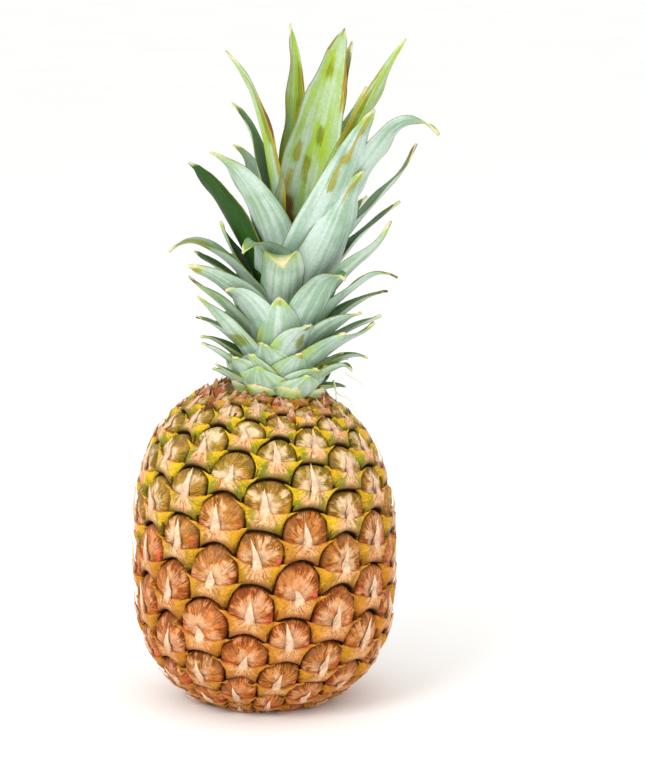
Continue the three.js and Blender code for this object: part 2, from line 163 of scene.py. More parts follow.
# How leaves are coloured: how yellow the blade is, how far the yellow keeps to the middle (or,
# below 0, to the edges), how much of the tip is dry, how dark the outer and the inner face are,
# and how brown the dry tip is.
WAXY = (0.05, 0.4, 0.04, 0.0, 0.75, 0.4)
FOOT = (0.10, -3.0, 0.06, 0.0, 0.6, 0.2)
CREAM = (0.25, -1.0, 0.42, 0.0, 0.0, 0.2)
PALE_TIP = (0.14, 0.4, 0.06, 0.0, 0.6, 0.3)
CREAM_TIP = (0.14, 0.4, 0.13, 0.0, 0.6, 0.15)
GOLDEN = (1.0, 0.35, 0.04, 0.0, 0.0, 0.5)
FRESH = (1.9, 0.2, 0.04, 0.0, 0.1, 0.8)
STREAKY = (1.15, 0.6, 0.03, 0.0, 0.0, 0.8)
OLIVE = (0.95, 0.3, 0.04, 0.15, 0.35, 0.9)
GREENER = (0.40, 0.4, 0.04, 0.1, 0.9, 0.5)
# A leaf that lies in its own shadow: darkness above 1 paints shade over both faces with the darkest green.
SELF_SHADED = (0.10, 0.4, 0.03, 1.9, 1.9, 0.9)
LIGHT_INSIDE = (0.10, 0.4, 0.05, 0.0, 0.35, 0.1)
DRY_TIP = (0.12, 0.4, 0.06, 0.0, 0.75, 1.0)

# Azimuth, height of the root, length, width, lean from upright at the root and at the tip,
# sideways bend, twist, hook of the very tip, and colouring.
FRONT_LEAVES = (
    (-112, 0, 12, 26, 21, 23, -7, 1, 3, FOOT),
    (-51, 0, 16, 26, 22, 41, 4, -5, 12, FOOT),
    (-137, 2, 17, 23, 30, 43, -7, 18, 13, FOOT),
    (-125, 3, 16, 24, 19, 27, 8, -4, 9, FOOT),
    (-65, 5, 16, 25, 13, 18, 1, -5, 9, FOOT),
    (-39, 7, 33, 21, 33, 55, 1, -15, -5, WAXY),
    (-21, 9, 42, 16, 40, 69, -1, -3, -27, DRY_TIP),
    (-150, 10, 46, 21, 42, 48, -1, 6, 5, PALE_TIP),
    (-116, 11, 13, 27, 15, 28, 6, 0, 2, PALE_TIP),
    (-71, 13, 25, 22, 25, 30, 17, 26, 20, WAXY),
    (-5, 14, 41, 16, 44, 67, -1, 3, -5, WAXY),
    (-31, 15, 39, 20, 34, 60, 3, -14, 14, PALE_TIP),
    (-92, 12, 35, 22, 17, 16, -8, 0, -5, PALE_TIP),
    (-129, 18, 40, 25, 25, 52, -17, 19, 39, WAXY),
    (-167, 20, 46, 19, 45, 62, -1, 9, -10, GREENER),
    (-51, 19, 51, 25, 25, 25, 5, 2, 84, WAXY),
    (5, 20, 47, 17, 40, 62, 2, 4, 15, DRY_TIP),
    (-16, 23, 59, 17, 33, 57, -4, 4, 51, DRY_TIP),
    (-149, 26, 52, 24, 41, 71, -5, 33, 8, PALE_TIP),
    (-29, 29, 70, 18, 33, 54, 0, -14, -37, DRY_TIP),
    (-44, 36, 79, 27, 31, 7, -1, -28, 31, WAXY),
    (177, 31, 46, 16, 42, 66, 2, -8, -6, GREENER),
    (-104, 31, 53, 20, 21, 60, 16, 7, 99, CREAM_TIP),
    (-168, 33, 63, 20, 31, 90, 0, -8, 50, LIGHT_INSIDE),
    (175, 34, 48, 20, 36, 29, 1, -6, -3, GREENER),
    (9, 35, 70, 15, 28, 48, 2, 2, 5, WAXY),
    (177, 37, 77, 28, 27, 41, -7, 53, 14, SELF_SHADED),
    (-111, 38, 50, 25, 15, 77, -21, -3, 84, PALE_TIP),
    (8, 41, 91, 17, 29, 44, 0, 0, -25, DRY_TIP),
    (-29, 43, 129, 24, 22, 48, -20, -35, 73, WAXY),
    (-141, 45, 78, 28, 13, 58, -10, 20, 8, PALE_TIP),
    (-48, 45, 104, 29, 28, 24, -9, -20, 16, WAXY),
    (152, 46, 90, 21, 11, 29, -1, 3, 23, GREENER),
    (107, 48, 127, 17, 4, 29, -2, 20, 24, FRESH),
    (-178, 48, 112, 19, 4, 32, 0, 26, 14, GOLDEN),
    (-31, 51, 129, 18, 19, 29, -12, -29, 7, GOLDEN),
    (36, 54, 92, 17, 13, 25, -6, -1, -5, GOLDEN),
    (68, 57, 108, 22, 15, 16, -10, 10, -16, OLIVE),
    (110, 57, 118, 27, -7, 29, -24, 2, 16, STREAKY),
)

# Slender scales at the sides of the crown's foot, in the same way.
SIDE_SCALES = (
    (-176, 13, 32, 11, 47, 69, 0, -2, 11, DRY_TIP),
    (-172, 9, 26, 14, 48, 74, 1, -2, 26, GREENER),
    (-165, 6, 25, 12, 52, 67, 0, 0, 7, GREENER),
    (-153, 1, 17, 12, 54, 54, 0, 0, -1, PALE_TIP),
    (-156, 1, 16, 12, 57, 70, -1, 0, 8, DRY_TIP),
    (-14, 7, 30, 14, 47, 82, -2, 6, 24, WAXY),
    (-27, 3, 26, 14, 42, 70, -2, 4, 70, GREENER),
    (-12, 1, 14, 10, 60, 95, -2, 3, 6, GREENER),
    (30, 4, 22, 13, 50, 80, 0, 5, 10, PALE_TIP),
    (65, 8, 28, 13, 48, 72, 3, -4, 20, DRY_TIP),
    (118, 6, 25, 13, 50, 76, -3, 6, 12, PALE_TIP),
    (150, 10, 30, 12, 48, 70, 2, -5, 18, WAXY),
)

# Short cream scales under the leaves, right round the foot.
CREAM_SCALES = (
    (-114, -3, 8.0, 15, 32, 26, 0, 4, 0, CREAM),
    (-68, -3, 9.0, 17, 32, 24, 4, -4, 0, CREAM),
    (-154, -3, 7.5, 14, 34, 30, 0, 0, 0, CREAM),
    (-24, -3, 7.5, 14, 34, 34, 0, 4, 0, CREAM),
    (22, -3, 8.0, 15, 34, 30, 0, 3, 0, CREAM),
    (67, -3, 9.0, 16, 32, 28, 0, 0, 0, CREAM),
    (113, -3, 8.0, 15, 34, 32, 0, -3, 0, CREAM),
    (160, -3, 7.5, 14, 34, 30, 0, 0, 0, CREAM),
)

# Leaves whose blades stay broad almost to the tip, by place in FRONT_LEAVES: how late they taper.
LATE_TAPER = {9: 3.0, 12: 2.6, 15: 3.0, 20: 1.9, 22: 4.5, 29: 1.25, 35: 1.6, 38: 2.2}

# Dry threads, from the tips of scales down to the rind: half thickness, how yellow, and points.
THREADS = (
    (0.30, 0.2, ((38.0, -21.0, 158.6), (39.3, -21.6, 156.8), (43.9, -20.5, 153.9), (43.7, -18.0, 151.3))),
    (0.55, 0.8, ((31.9, -8.0, 152.5), (32.8, -9.8, 149.7), (33.2, -11.8, 146.2), (34.1, -13.8, 142.3))),
    (
        0.25,
        0.0,
        (
            *((33.2, -8.5, 147.6), (36.0, -8.7, 145.4), (38.8, -6.7, 143.8)),
            *((40.7, -5.8, 140.4), (44.5, -2.4, 134.0)),
        ),
    ),
)

# Stains: the leaf's place in FRONT_LEAVES, how far along and across, their half sizes in the same
# shares, and their colour, from olive by way of ochre to brown.
STAINS = (
    (4, 0.90, 0.00, 0.12, 0.50, 0.55),
    (7, 0.37, 0.00, 0.15, 0.90, 0.02),
    (9, 0.56, 0.00, 0.22, 0.36, 0.00),
    (9, 0.92, 0.00, 0.10, 0.60, 0.10),
    (12, 0.93, 0.00, 0.08, 0.50, 0.45),
    (14, 0.95, 0.00, 0.07, 1.00, 0.80),
    (18, 0.93, 0.00, 0.09, 0.80, 0.60),
    (20, 0.93, -0.10, 0.08, 0.16, 0.50),
    (20, 0.82, -0.30, 0.12, 0.12, 0.50),
    (23, 0.78, 0.00, 0.20, 1.20, 0.15),
    (25, 0.93, 0.26, 0.10, 0.60, 0.60),
    (28, 0.96, 0.00, 0.08, 1.80, 1.00),
    (29, 0.64, 0.97, 0.24, 0.16, 0.55),
    (31, 0.92, -0.10, 0.08, 0.25, 0.35),
    (31, 0.80, -0.26, 0.10, 0.17, 0.38),
    (31, 0.64, -0.50, 0.13, 0.16, 0.32),
    (33, 0.62, -0.60, 0.26, 0.55, 0.00),
    (33, 0.76, -0.95, 0.10, 0.20, 0.80),
    (33, 0.56, -0.40, 0.10, 0.30, 0.80),
    (33, 0.28, -0.40, 0.22, 0.50, 0.95),
    (34, 0.75, 0.70, 0.20, 0.40, 0.05),
    (34, 0.70, 0.95, 0.16, 0.16, 0.90),
    (34, 0.45, 0.95, 0.25, 0.20, 0.45),
    (35, 0.75, -0.90, 0.22, 0.20, 0.60),
    (35, 0.60, -0.60, 0.25, 0.30, 0.00),
    (37, 0.80, -0.80, 0.16, 0.30, 0.70),
    (37, 0.55, -0.20, 0.20, 0.40, 0.25),
    (38, 0.78, 0.15, 0.08, 0.16, 0.25),
    (38, 0.90, 0.95, 0.07, 0.20, 0.90),
    (38, 0.78, -0.90, 0.18, 0.20, 0.75),
    (38, 0.60, 0.10, 0.02, 0.12, 0.60),
    (38, 0.53, -0.20, 0.04, 0.22, 0.00),
    (38, 0.45, 0.50, 0.07, 0.08, 0.35),
    (38, 0.38, 0.00, 0.07, 0.10, 0.25),
    (38, 0.33, 0.55, 0.09, 0.28, 0.75),
    (38, 0.22, 0.45, 0.12, 0.60, 1.10),
    (38, 0.14, 0.40, 0.14, 0.80, 1.20),
)


# ---- Numbers ------------------------------------------------------------------------------------


def draw(i, k):
    """A repeatable draw between 0 and 1 for leaf or eye number i."""
    s = math.sin(i * 12.9898 + k * 78.233 + 4.1) * 43758.5453
    return s - math.floor(s)


def spread(i, k):
    """The same draw between -1 and 1."""
    return 2 * draw(i, k) - 1


def mix(a, b, t):
    return a + (b - a) * t


def smooth(start, end, x):
    t = np.clip((x - start) / (end - start), 0, 1)
    return t * t * (3 - 2 * t)


def bump(x, width):
    """A bell, 1 at the middle."""
    return np.exp(-((x / width) ** 2))


def ripple(a, b, seed):
    """A smooth wobble between about -1 and 1 over two coordinates."""
    total = 0
    for n in range(4):
        angle = TURN * draw(seed, 40 + n)
        pace = 0.7 + 0.5 * n
        total = total + np.sin(
            pace * (a * math.cos(angle) + b * math.sin(angle)) + TURN * draw(seed, 50 + n)
        )
    return total / 3


def srgb(code):
    """A colour as three linear numbers, from six hexadecimal digits."""
    shares = [int(code[k : k + 2], 16) / 255 for k in (0, 2, 4)]
    return tuple(c / 12.92 if c <= 0.04045 else ((c + 0.055) / 1.055) ** 2.4 for c in shares)


# ---- Settings -----------------------------------------------------------------------------------


def length(name, description, default, **limits):
    return bpy.props.FloatProperty(
        name=name, description=description, default=default, unit="LENGTH", precision=4, **limits
    )


def share(name, description, default):
    return bpy.props.FloatProperty(
        name=name, description=description, default=default, min=0, max=1, subtype="FACTOR"
    )


def colour(name, description, code):
    return bpy.props.FloatVectorProperty(
        name=name,
        description=description,
        default=srgb(code),
        size=3,
        min=0,
        max=1,
        subtype="COLOR",
    )


class FruitSettings(bpy.types.PropertyGroup):
    relief: length("Relief", "From the floor of a groove to the top of a bract", 0.0042, min=0.001)
    disc_height: length("Disc height", "Of the middle of an eye, above the grooves", 0.0038)
    bract_swell: length("Bract swell", "How much the lower part of an eye swells", 0.0008)
    pit_depth: length("Pit depth", "Of the hollow behind the edge of a bract", 0.0009)
    groove_share: share("Groove width", "The part of an eye that slopes into the groove", 0.2)
    bract_film: length("Bract thickness", "Of the free edge of a bract", 0.00035, min=0.0001)
    edge_lift: length("Edge lift", "How far a bract's upper edge stands off its eye", 0.0009)
    spike_length: share("Spike length", "Of a bract's spike, in eye radii", 0.88)
    spike_lift: length("Spike lift", "How far a spike's point stands off its eye", 0.0015)
    # Near black: partly the groove floor's own dark colour, partly painted shade in the grooves.
    groove: colour("Groove", "Floor of the grooves between eyes", "2E1E04")
    rim_green: colour("Green rim", "Rim of the upper eyes", "665610")
    rim_brown: colour("Brown rim", "Rim of the lower eyes", "803C12")
    disc_green: colour("Upper disc", "Halfway out on the upper eyes", "A98418")
    disc_brown: colour("Lower disc", "Halfway out on the lower eyes", "CE7630")
    heart: colour("Heart", "Waxy middle of an eye", "F6D9B0")
    mauve: colour("Mauve", "Greyish patches on the eyes", "C08A5E")
    blush: colour("Blush", "Red patches on some eyes", "D85A42")
    bract_green: colour("Bract green", "Flanks of the upper bracts", "7C8A18")
    bract_yellow: colour("Bract yellow", "Horns of the upper bracts", "E6BC24")
    bract_orange: colour("Bract orange", "Lower bracts", "CE7A26")
    bract_cream: colour("Bract cream", "Middle of a bract", "F5CE98")
    bract_rose: colour("Bract rose", "Patches in the middle of a bract", "F0B47C")
    bract_pink: colour("Bract pink", "Fibres in the middle of a bract", "B4683A")
    spike: colour("Spike", "Papery point of a bract", "FFD6B2")
    # The fleck colour is also painted shade at the roots of the collar scales.
    fleck: colour("Fleck", "Dark flecks round the foot of a spike", "5E3414")
    dry_bract: colour("Dry bract", "Bracts round the seat of the crown", "AE5424")
    scale_tan: colour("Scale tan", "Papery scales round the seat of the crown", "D2A262")
    stalk_pale: colour("Stalk pale", "Cut face of the stalk", "CDB685")
    stalk_tan: colour("Stalk tan", "Fibres of the cut face", "9C7C4A")
    stalk_bundle: colour("Stalk bundle", "Dark dots on the cut face", "6B4A25")
    stalk_brown: colour("Stalk brown", "Stained parts of the cut face", "7A5C36")


class CrownSettings(bpy.types.PropertyGroup):
    middle_thickness: length("Middle thickness", "Of a leaf along its middle", 0.0018)
    edge_thickness: length("Edge thickness", "Of a leaf along its edges", 0.0004)
    wave: length("Wave", "How far the edges of a leaf wave", 0.0006)
    bloom: colour("Bloom", "Waxy outer face", "C1D1C7")
    under_bloom: colour("Under the bloom", "Outer face where the wax is thin", "8EAE96")
    fresh: colour("Fresh", "Yellow-green parts", "A2BE3C")
    inner: colour("Inner face", "Shaded side of a leaf", "37602A")
    # Painted shade: the darkest green, laid over a leaf that lies in its own shadow.
    painted_deep_shade: colour("Deep green", "Darkest inner face", "1F4206")
    olive: colour("Olive", "Margins and stains", "76820F")
    ochre: colour("Ochre", "Streaks where the wax is worn", "A8982C")
    tan: colour("Tan", "Dry tips", "D2CC9C")
    brown: colour("Brown", "Dry edges and scars", "6E461E")


class StageSettings(bpy.types.PropertyGroup):
    floor_colour: colour("Floor", "Plain pale floor", "FAFAF8")
    sky_strength: bpy.props.FloatProperty(
        name="Sky", description="Strength of the even light", default=1.05, min=0
    )
    key_power: bpy.props.FloatProperty(
        name="Key", description="Power of the main soft light", default=11, min=0, subtype="POWER"
    )
    fill_power: bpy.props.FloatProperty(
        name="Fill", description="Power of the second soft light", default=3.5, min=0, subtype="POWER"
    )
    camera_distance: length("Camera distance", "From the pineapple's middle", 1.25, min=0.2)
    camera_elevation: bpy.props.FloatProperty(
        name="Camera elevation",
        description="How far the camera looks down",
        default=math.radians(10),
        subtype="ANGLE",
    )
    view_height: length("View height", "Height of the view at the pineapple", 0.36, min=0.1)


# ---- Meshes -------------------------------------------------------------------------------------


def make_piece(name, points, faces, layers, material, replaced):
    """A smooth mesh object from points in millimetres, with its layers of numbers per point."""
    mesh = bpy.data.meshes.new(name)
    mesh.from_pydata((points * MM).tolist(), [], faces)
    for key, values in layers.items():
        values = np.asarray(values, np.float32)
        flat = values.ndim == 1
        layer = mesh.attributes.new(key, "FLOAT" if flat else "FLOAT_VECTOR", "POINT")
        layer.data.foreach_set("value" if flat else "vector", values.ravel())
    mesh.shade_smooth()
    mesh.materials.append(material)
    piece = bpy.data.objects.new(name, mesh)
    bpy.context.scene.collection.objects.link(piece)
    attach(piece, "root")
    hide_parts(replaced)
    return piece


class Builder:
    """Collects the points, faces and layers of a piece made of many parts."""

    def __init__(self, *keys):
        self.points = []
        self.faces = []
        self.layers = {key: [] for key in keys}
        self.count = 0

    def add(self, points, faces, **layers):
        self.points.append(points)
        self.faces.append(np.asarray(faces) + self.count)
        for key, values in layers.items():
            self.layers[key].append(values)
        self.count += len(points)

    def piece(self, name, material, slot, replaced, keep=None):
        """Points that coincide are made one, and faces that collapse or aren't kept are left out."""
        points = np.concatenate(self.points)
        cells = np.round(points / WELD_REACH).astype(np.int64)
        _, first, same = np.unique(cells, axis=0, return_index=True, return_inverse=True)
        points = points[first]
        faces = same.reshape(-1)[np.concatenate(self.faces)]
        a, b, c = faces.T
        kept = (a != b) & (b != c) & (a != c)
        if keep:
            kept &= keep(points[faces].mean(axis=1))
        used, places = np.unique(faces[kept], return_inverse=True)
        layers = {key: np.concatenate(values)[first][used] for key, values in self.layers.items()}
        faces = places.reshape(-1, 3).tolist()
        return make_piece(name, points[used], faces, layers, material, replaced)


def quads(low, high, closed=False):
    """Triangles between two rows of point numbers, joined round if closed."""
    low = np.asarray(low)
    high = np.asarray(high)
    if closed:
        low = np.append(low, low[0])
        high = np.append(high, high[0])
    a, b, c, d = low[:-1], low[1:], high[1:], high[:-1]
    return np.concatenate((np.stack((a, b, c), -1), np.stack((a, c, d), -1)))


def sheet(rows, columns):
    """Triangles of a thin closed sheet: an outer grid of points, and then an inner one."""
    grid = np.arange(rows * columns).reshape(rows, columns)
    faces = []
    for low, high in zip(grid, grid[1:]):
        faces += [quads(low, high), quads(low, high)[:, ::-1] + grid.size]
    for rim in (grid[::-1, 0], grid[:, -1], grid[0], grid[-1, ::-1]):
        faces.append(quads(rim, rim + grid.size)[:, ::-1])
    return np.concatenate(faces)


def grid_places(rows, columns):
    """How far along and how far across each point of a sheet's face is."""
    return (places.ravel() for places in np.meshgrid(rows, columns, indexing="ij"))


def doubled(layers):
    """Layers of one face of a sheet, for both of its faces."""
    return {key: np.concatenate((values, values)) for key, values in layers.items()}


def turned(profile, sides):
    """Points and triangles of [radius, height] pairs turned about the Z axis."""
    angles = TURN * np.arange(sides) / sides
    ring = np.stack((np.cos(angles), np.sin(angles)), -1)
    points = [np.column_stack((r * ring, np.full(sides, z))) for r, z in profile]
    rows = [np.arange(sides) + k * sides for k in range(len(profile))]
    faces = [quads(a, b, closed=True) for a, b in zip(rows, rows[1:])]
    return np.concatenate(points), np.concatenate(faces)


# ---- The fruit's body ---------------------------------------------------------------------------


def barrel_outline(samples=4000):
    """The barrel's outline as columns of climb, radius, height and its normal's two parts."""
    q = 2 * np.arange(1, samples) / samples - 1
    part = q * (2 - np.abs(q))
    radius = RADIUS * np.sqrt(1 - np.abs(part) ** SQUARENESS)
    height = WIDEST_AT + np.where(q < 0, REACH_DOWN, REACH_UP) * part
    across = np.gradient(radius)
    along = np.gradient(height)
    step = np.hypot(across, along)
    leg = np.hypot(np.diff(radius), np.diff(height))
    climb = np.concatenate(([0], np.cumsum(2 * leg / (radius[1:] + radius[:-1]))))
    return {
        "climb": climb,
        "radius": radius,
        "height": height,
        "out": along / step,
        "up": -across / step,
    }


OUTLINE = barrel_outline()
FIRST_CLIMB = float(np.interp(FIRST_HEIGHT, OUTLINE["height"], OUTLINE["climb"]))
SEAT_CLIMB = float(np.interp(SEAT_AT, OUTLINE["height"], OUTLINE["climb"]))


def lean_over(points):
    """The top of the barrel leans towards +X, by more and more on the way up."""
    x, y, z = points[..., 0], points[..., 1], points[..., 2]
    angle = LEAN * smooth(LEAN_FROM, SEAT_AT, z)
    rise = z - LEAN_ABOUT
    return np.stack(
        (
            x * np.cos(angle) + rise * np.sin(angle),
            y,
            LEAN_ABOUT + rise * np.cos(angle) - x * np.sin(angle),
        ),
        -1,
    )


def rind_point(azimuth, climb, height, relief):
    """Points of the rind, with height measured up from the floor of the grooves."""
    radius, level, out, up = (
        np.interp(climb, OUTLINE["climb"], OUTLINE[key]) for key in ("radius", "height", "out", "up")
    )
    offset = (height - relief) * mix(RELIEF_AT_ENDS, 1, radius / RADIUS)
    reach = radius + out * offset
    points = (reach * np.cos(azimuth), reach * np.sin(azimuth), level + up * offset)
    return lean_over(np.stack(points, -1))


def eye_place(i):
    """The middle of eye i as (azimuth, climb), close to the spiral that every eye sits on."""
    aside = JITTER * spread(i, JITTER_DRAW)
    above = JITTER * spread(i, JITTER_DRAW + 1)
    return np.array(
        (
            FIRST_AZIMUTH + i * DIVERGENCE + aside / RADIUS,
            FIRST_CLIMB + (i * RISE + above) / RADIUS,
        )
    )


def between(start, end):
    """From one place to another, by the shorter turn."""
    step = end - start
    step[0] -= TURN * round(step[0] / TURN)
    return step


class Eye:
    """One eye of the rind, with its cell's outline in eye radii about its middle."""

    def __init__(self, number):
        self.number = number
        self.middle = eye_place(number)
        self.dry = float(smooth(DRY_FROM, DRY_BY, number))
        ripe = smooth(*RIPENING, self.height()) + 0.22 * spread(number, 3)
        self.ripe = float(np.clip(ripe, 0, 1))
        corners = [self.corner(number + lowest, others) for lowest, others, _ in CELL]
        ends = corners[1:] + corners[:1]
        sides = [self.side(a, b, number + row[2]) for a, b, row in zip(corners, ends, CELL)]
        self.outline = np.concatenate(sides) / CELL_RADIUS
        self.angles = np.unwrap(np.arctan2(self.outline[:, 1], self.outline[:, 0]))
        self.radii = np.hypot(self.outline[:, 0], self.outline[:, 1])

    def height(self):
        return float(np.interp(self.middle[1], OUTLINE["climb"], OUTLINE["height"]))

    def corner(self, lowest, others):
        base = eye_place(lowest)
        steps = [between(base, eye_place(lowest + k)) for k in others]
        aside = CORNER_SHIFT if 7 in others else -CORNER_SHIFT
        shift = np.array((aside, -CORNER_DROP)) * CELL_RADIUS
        return between(self.middle, base) + sum(steps) / 3 + shift

    def side(self, start, end, other):
        """Points from one corner up to the next, bulging towards the higher of the two eyes."""
        t = np.arange(SIDE_STEPS)[:, None] / SIDE_STEPS
        upward = between(self.middle, eye_place(other))
        if other < self.number:
            upward = -upward
        low, high = sorted((other, self.number))
        bulge_share = HEAD_BULGE if high - low == STRAIGHT_ABOVE else FLANK_BULGE
        bulge_share *= 1 + 0.6 * spread(31 * low + high, 9)
        bulge = bulge_share * np.hypot(*(end - start)) * upward / np.hypot(*upward)
        return mix(start, end, t) + 4 * t * (1 - t) * bulge

    def share(self, x, y):
        """How far out a point is, from 0 in the middle to 1 at the groove."""
        rim = np.interp(np.arctan2(y, x), self.angles, self.radii, period=TURN)
        return np.hypot(x, y) / rim

    def dome(self, fruit, x, y):
        """Height of the eye without its groove, in millimetres above the grooves: a low dome that
        swells under its bract, with a hollow behind the bract's edge and a knob behind its spike."""
        height = fruit.disc_height / MM * (1 - 0.2 * (x**2 + (y - 0.1) ** 2))
        height = height + fruit.bract_swell / MM * bump(y + 0.55, 0.3) * bump(x, 0.8)
        hollow = bump(y - 0.02, 0.11) * (1 - smooth(0.5, 0.85, np.abs(x)))
        height = height - fruit.pit_depth / MM * hollow * (0.55 + 0.45 * bump(x, 0.3))
        height = height + KNOB_HEIGHT * bump(x, 0.22) * bump(y - 0.3, 0.2)
        unevenness = ripple(5 * x, 5 * y, self.number) * smooth(1.05, 0.7, np.hypot(x, y))
        return height + EYE_RIPPLE * unevenness

    def groove(self, fruit, part):
        """The share of the eye's height that is left near the groove."""
        start = 1 - fruit.groove_share
        return 1 - np.clip((part - start) / fruit.groove_share, 0, 1) ** 2.2

    def points(self, fruit, x, y, height):
        azimuth = self.middle[0] + x * CELL_RADIUS
        climb = self.middle[1] + y * CELL_RADIUS
        return rind_point(azimuth, climb, height, fruit.relief / MM)

    def looks(self, x, y):
        """What the materials read for each point of this eye."""
        n = self.number
        seed = np.full(x.shape, draw(n, 5))
        blush = np.zeros(x.shape)
        for k, (side, strength) in enumerate(BLUSH_SPOTS):
            spot = bump(x - side - 0.06 * spread(n, 61), 0.17) * bump(y - 0.1 * spread(n, 62 + k), 0.16)
            blush = blush + strength * draw(n, 65 + k) * spot
        return {
            "eye": np.stack((x, y, seed), -1).reshape(-1, 3),
            "blush": np.clip(blush * (0.25 + self.ripe), 0, 1).ravel(),
            "ripe": np.full(x.size, self.ripe),
            "dry": np.full(x.size, self.dry),
        }

    def stands(self):
        """Whether any of it is between the seat and the surface that the fruit stands on."""
        climb = self.middle[1] + self.outline[:, 1] * CELL_RADIUS
        height = np.interp(climb, OUTLINE["climb"], OUTLINE["height"])
        return climb.min() < SEAT_CLIMB and height.max() > JUST_UNDER


def all_eyes():
    """The eyes, from the surface that the fruit stands on to the seat of the crown."""
    eyes = (Eye(i) for i in range(LOWEST_EYE, HIGHEST_EYE + 1))
    return [eye for eye in eyes if eye.stands()]


def trimmed(points):
    """Rind points are kept above the floor and out of the hollow round the stalk."""
    radius = np.hypot(points[:, 0], points[:, 1])
    low = points[:, 2] < 0
    push = np.where(low & (radius < DISH_RADIUS), DISH_RADIUS / np.maximum(radius, 1e-6), 1)
    points[:, 0] *= push
    points[:, 1] *= push
    points[low, 2] = 0
    return points


def build_rind(fruit):
    """The skin of the fruit: a patch for each eye, and the hollow underneath."""
    build = Builder("eye", "ripe", "dry", "blush", "share")
    rings = np.array(RING_SHARES)[:, None]
    around = 6 * SIDE_STEPS
    centre = np.zeros(around, int)
    rows = [centre] + [1 + k * around + np.arange(around) for k in range(len(rings))]
    faces = np.concatenate([quads(a, b, closed=True) for a, b in zip(rows, rows[1:])])[:, ::-1]
    for eye in all_eyes():
        x, y = (np.append(0, (rings * eye.outline[:, k]).ravel()) for k in (0, 1))
        y = np.minimum(y, (SEAT_CLIMB - eye.middle[1]) / CELL_RADIUS)
        part = np.append(0, np.repeat(rings, around))
        height = eye.dome(fruit, x, y) * eye.groove(fruit, part)
        points = trimmed(eye.points(fruit, x, y, height))
        build.add(points, faces, share=part, **eye.looks(x, y))
    add_hollow(build)
    add_seat(build, fruit)
    return build.piece("rind", rind_material(fruit), "rind", "fruit")


def plain_looks(count, part, ripe=1.0):
    """What the rind's material reads where there is no eye."""
    return {
        "eye": np.tile((0.4, 0.0, 0.5), (count, 1)),
        "ripe": np.full(count, ripe),
        "dry": np.zeros(count),
        "blush": np.zeros(count),
        "share": np.full(count, part),
    }


def add_hollow(build):
    """The dish round the stalk, and the ring that the fruit stands on."""
    hole = STALK_RADIUS + GAP
    shoulder = hole + DISH_SHOULDER
    profile = [*DISH_SKIRT, (DISH_RADIUS, 0.0)]
    for angle in np.linspace(0, math.pi / 2, 9)[1:]:
        reach = mix(shoulder, DISH_RADIUS, math.cos(angle))
        profile.append((reach, DISH_DEPTH * math.sin(angle)))
    profile += [(hole, DISH_DEPTH), (hole, STALK_LENGTH + GAP), (0.01, STALK_LENGTH + GAP)]
    points, faces = turned(profile, HOLLOW_SIDES)
    build.add(points, faces[:, ::-1], **plain_looks(len(points), part=0.75))


def add_seat(build, fruit):
    """The flat seat of the crown."""
    azimuth = np.linspace(0, TURN, SEAT_SIDES, endpoint=False)
    rim = rind_point(azimuth, np.full(SEAT_SIDES, SEAT_CLIMB), SEAT_RISE, fruit.relief / MM)
    points = np.concatenate((rim, rim.mean(axis=0)[None]))
    faces = [(k, (k + 1) % SEAT_SIDES, SEAT_SIDES) for k in range(SEAT_SIDES)]
    # The seat takes the rim and groove colours of an eye's edge: painted shade under the crown.
    build.add(points, faces, **plain_looks(len(points), ripe=0.5, part=0.9))


# ---- Bracts -------------------------------------------------------------------------------------

# Places across a bract, as shares of the way to the tip of a horn, close together at the spike.
# Between FOOT_PLACE and HORN_PLACE it runs up a flank of its cell, and beyond them it is a horn.
FOOT_PLACE = 0.62
HORN_PLACE = 0.84
HALF_COLUMNS = (
    *(0.0, 0.03, 0.065, 0.105, 0.16, 0.27, 0.39, 0.51),
    *np.linspace(FOOT_PLACE, HORN_PLACE, 4),
    *(0.89, 0.94, 0.98, 1.0),
)
BRACT_COLUMNS = np.array([-c for c in HALF_COLUMNS[:0:-1]] + list(HALF_COLUMNS))
BRACT_ROWS = np.array((0.0, 0.05, 0.12, 0.24, 0.4, 0.55, 0.69, 0.82, 0.93, 1.0))
SPIKE_HALF_WIDTH = 0.15
SAG = 0.2  # how far a bract's upper edge dips between its horns, in eye radii
HORN_START = 0.3  # how far down the flank a horn's lower edge leaves it, as a share of the flank
HORN_REACH = (0.27, 0.14)  # from a corner of the cell to the tip of a horn, in eye radii
DRY_LIFT = 3.0  # how much further a dry spike's point stands off
SUNK_THICKNESS = 1.2  # how much thicker a bract is where it lies on its eye
BRACT_MIDDLE = 0.2  # how far below its eye's middle, in eye radii
LOWEST_BRACT = 0.5


def bract_edges(eye):
    """The lower and the upper edge of a bract, column by column."""
    n = eye.number
    lower = np.concatenate((eye.outline[LEFT_CORNER * SIDE_STEPS :], eye.outline[:1]))
    places = (-1, -HORN_PLACE, -FOOT_PLACE, FOOT_PLACE, HORN_PLACE, 1)
    sides = (HORN_START, HORN_START, 1, 2, 3 - HORN_START, 3 - HORN_START)
    along = SIDE_STEPS * np.interp(BRACT_COLUMNS, places, sides)
    steps = np.arange(len(lower))
    low = np.stack([np.interp(along, steps, lower[:, k]) for k in (0, 1)], -1)
    tips = []
    for k, corner in enumerate((lower[0], lower[-1])):
        reach = np.array(HORN_REACH) * (1 + 0.35 * spread(n, 71 + k), 1 + 0.6 * spread(n, 73 + k))
        tips.append(corner + reach * (2 * k - 1, 1))
    horn = np.clip((np.abs(BRACT_COLUMNS) - HORN_PLACE) / (1 - HORN_PLACE), 0, 1)[:, None]
    tip = np.where(BRACT_COLUMNS[:, None] < 0, *tips)
    low = mix(low, tip, horn)
    high = mix(tips[0], tips[1], (BRACT_COLUMNS[:, None] + 1) / 2)
    ragged = 0.03 * ripple(22 * high[:, 0], 0 * high[:, 0], n + 300)
    high[:, 1] += ragged * (1 - BRACT_COLUMNS**4) - SAG * (1 - np.abs(BRACT_COLUMNS) ** 1.9)
    return low, high


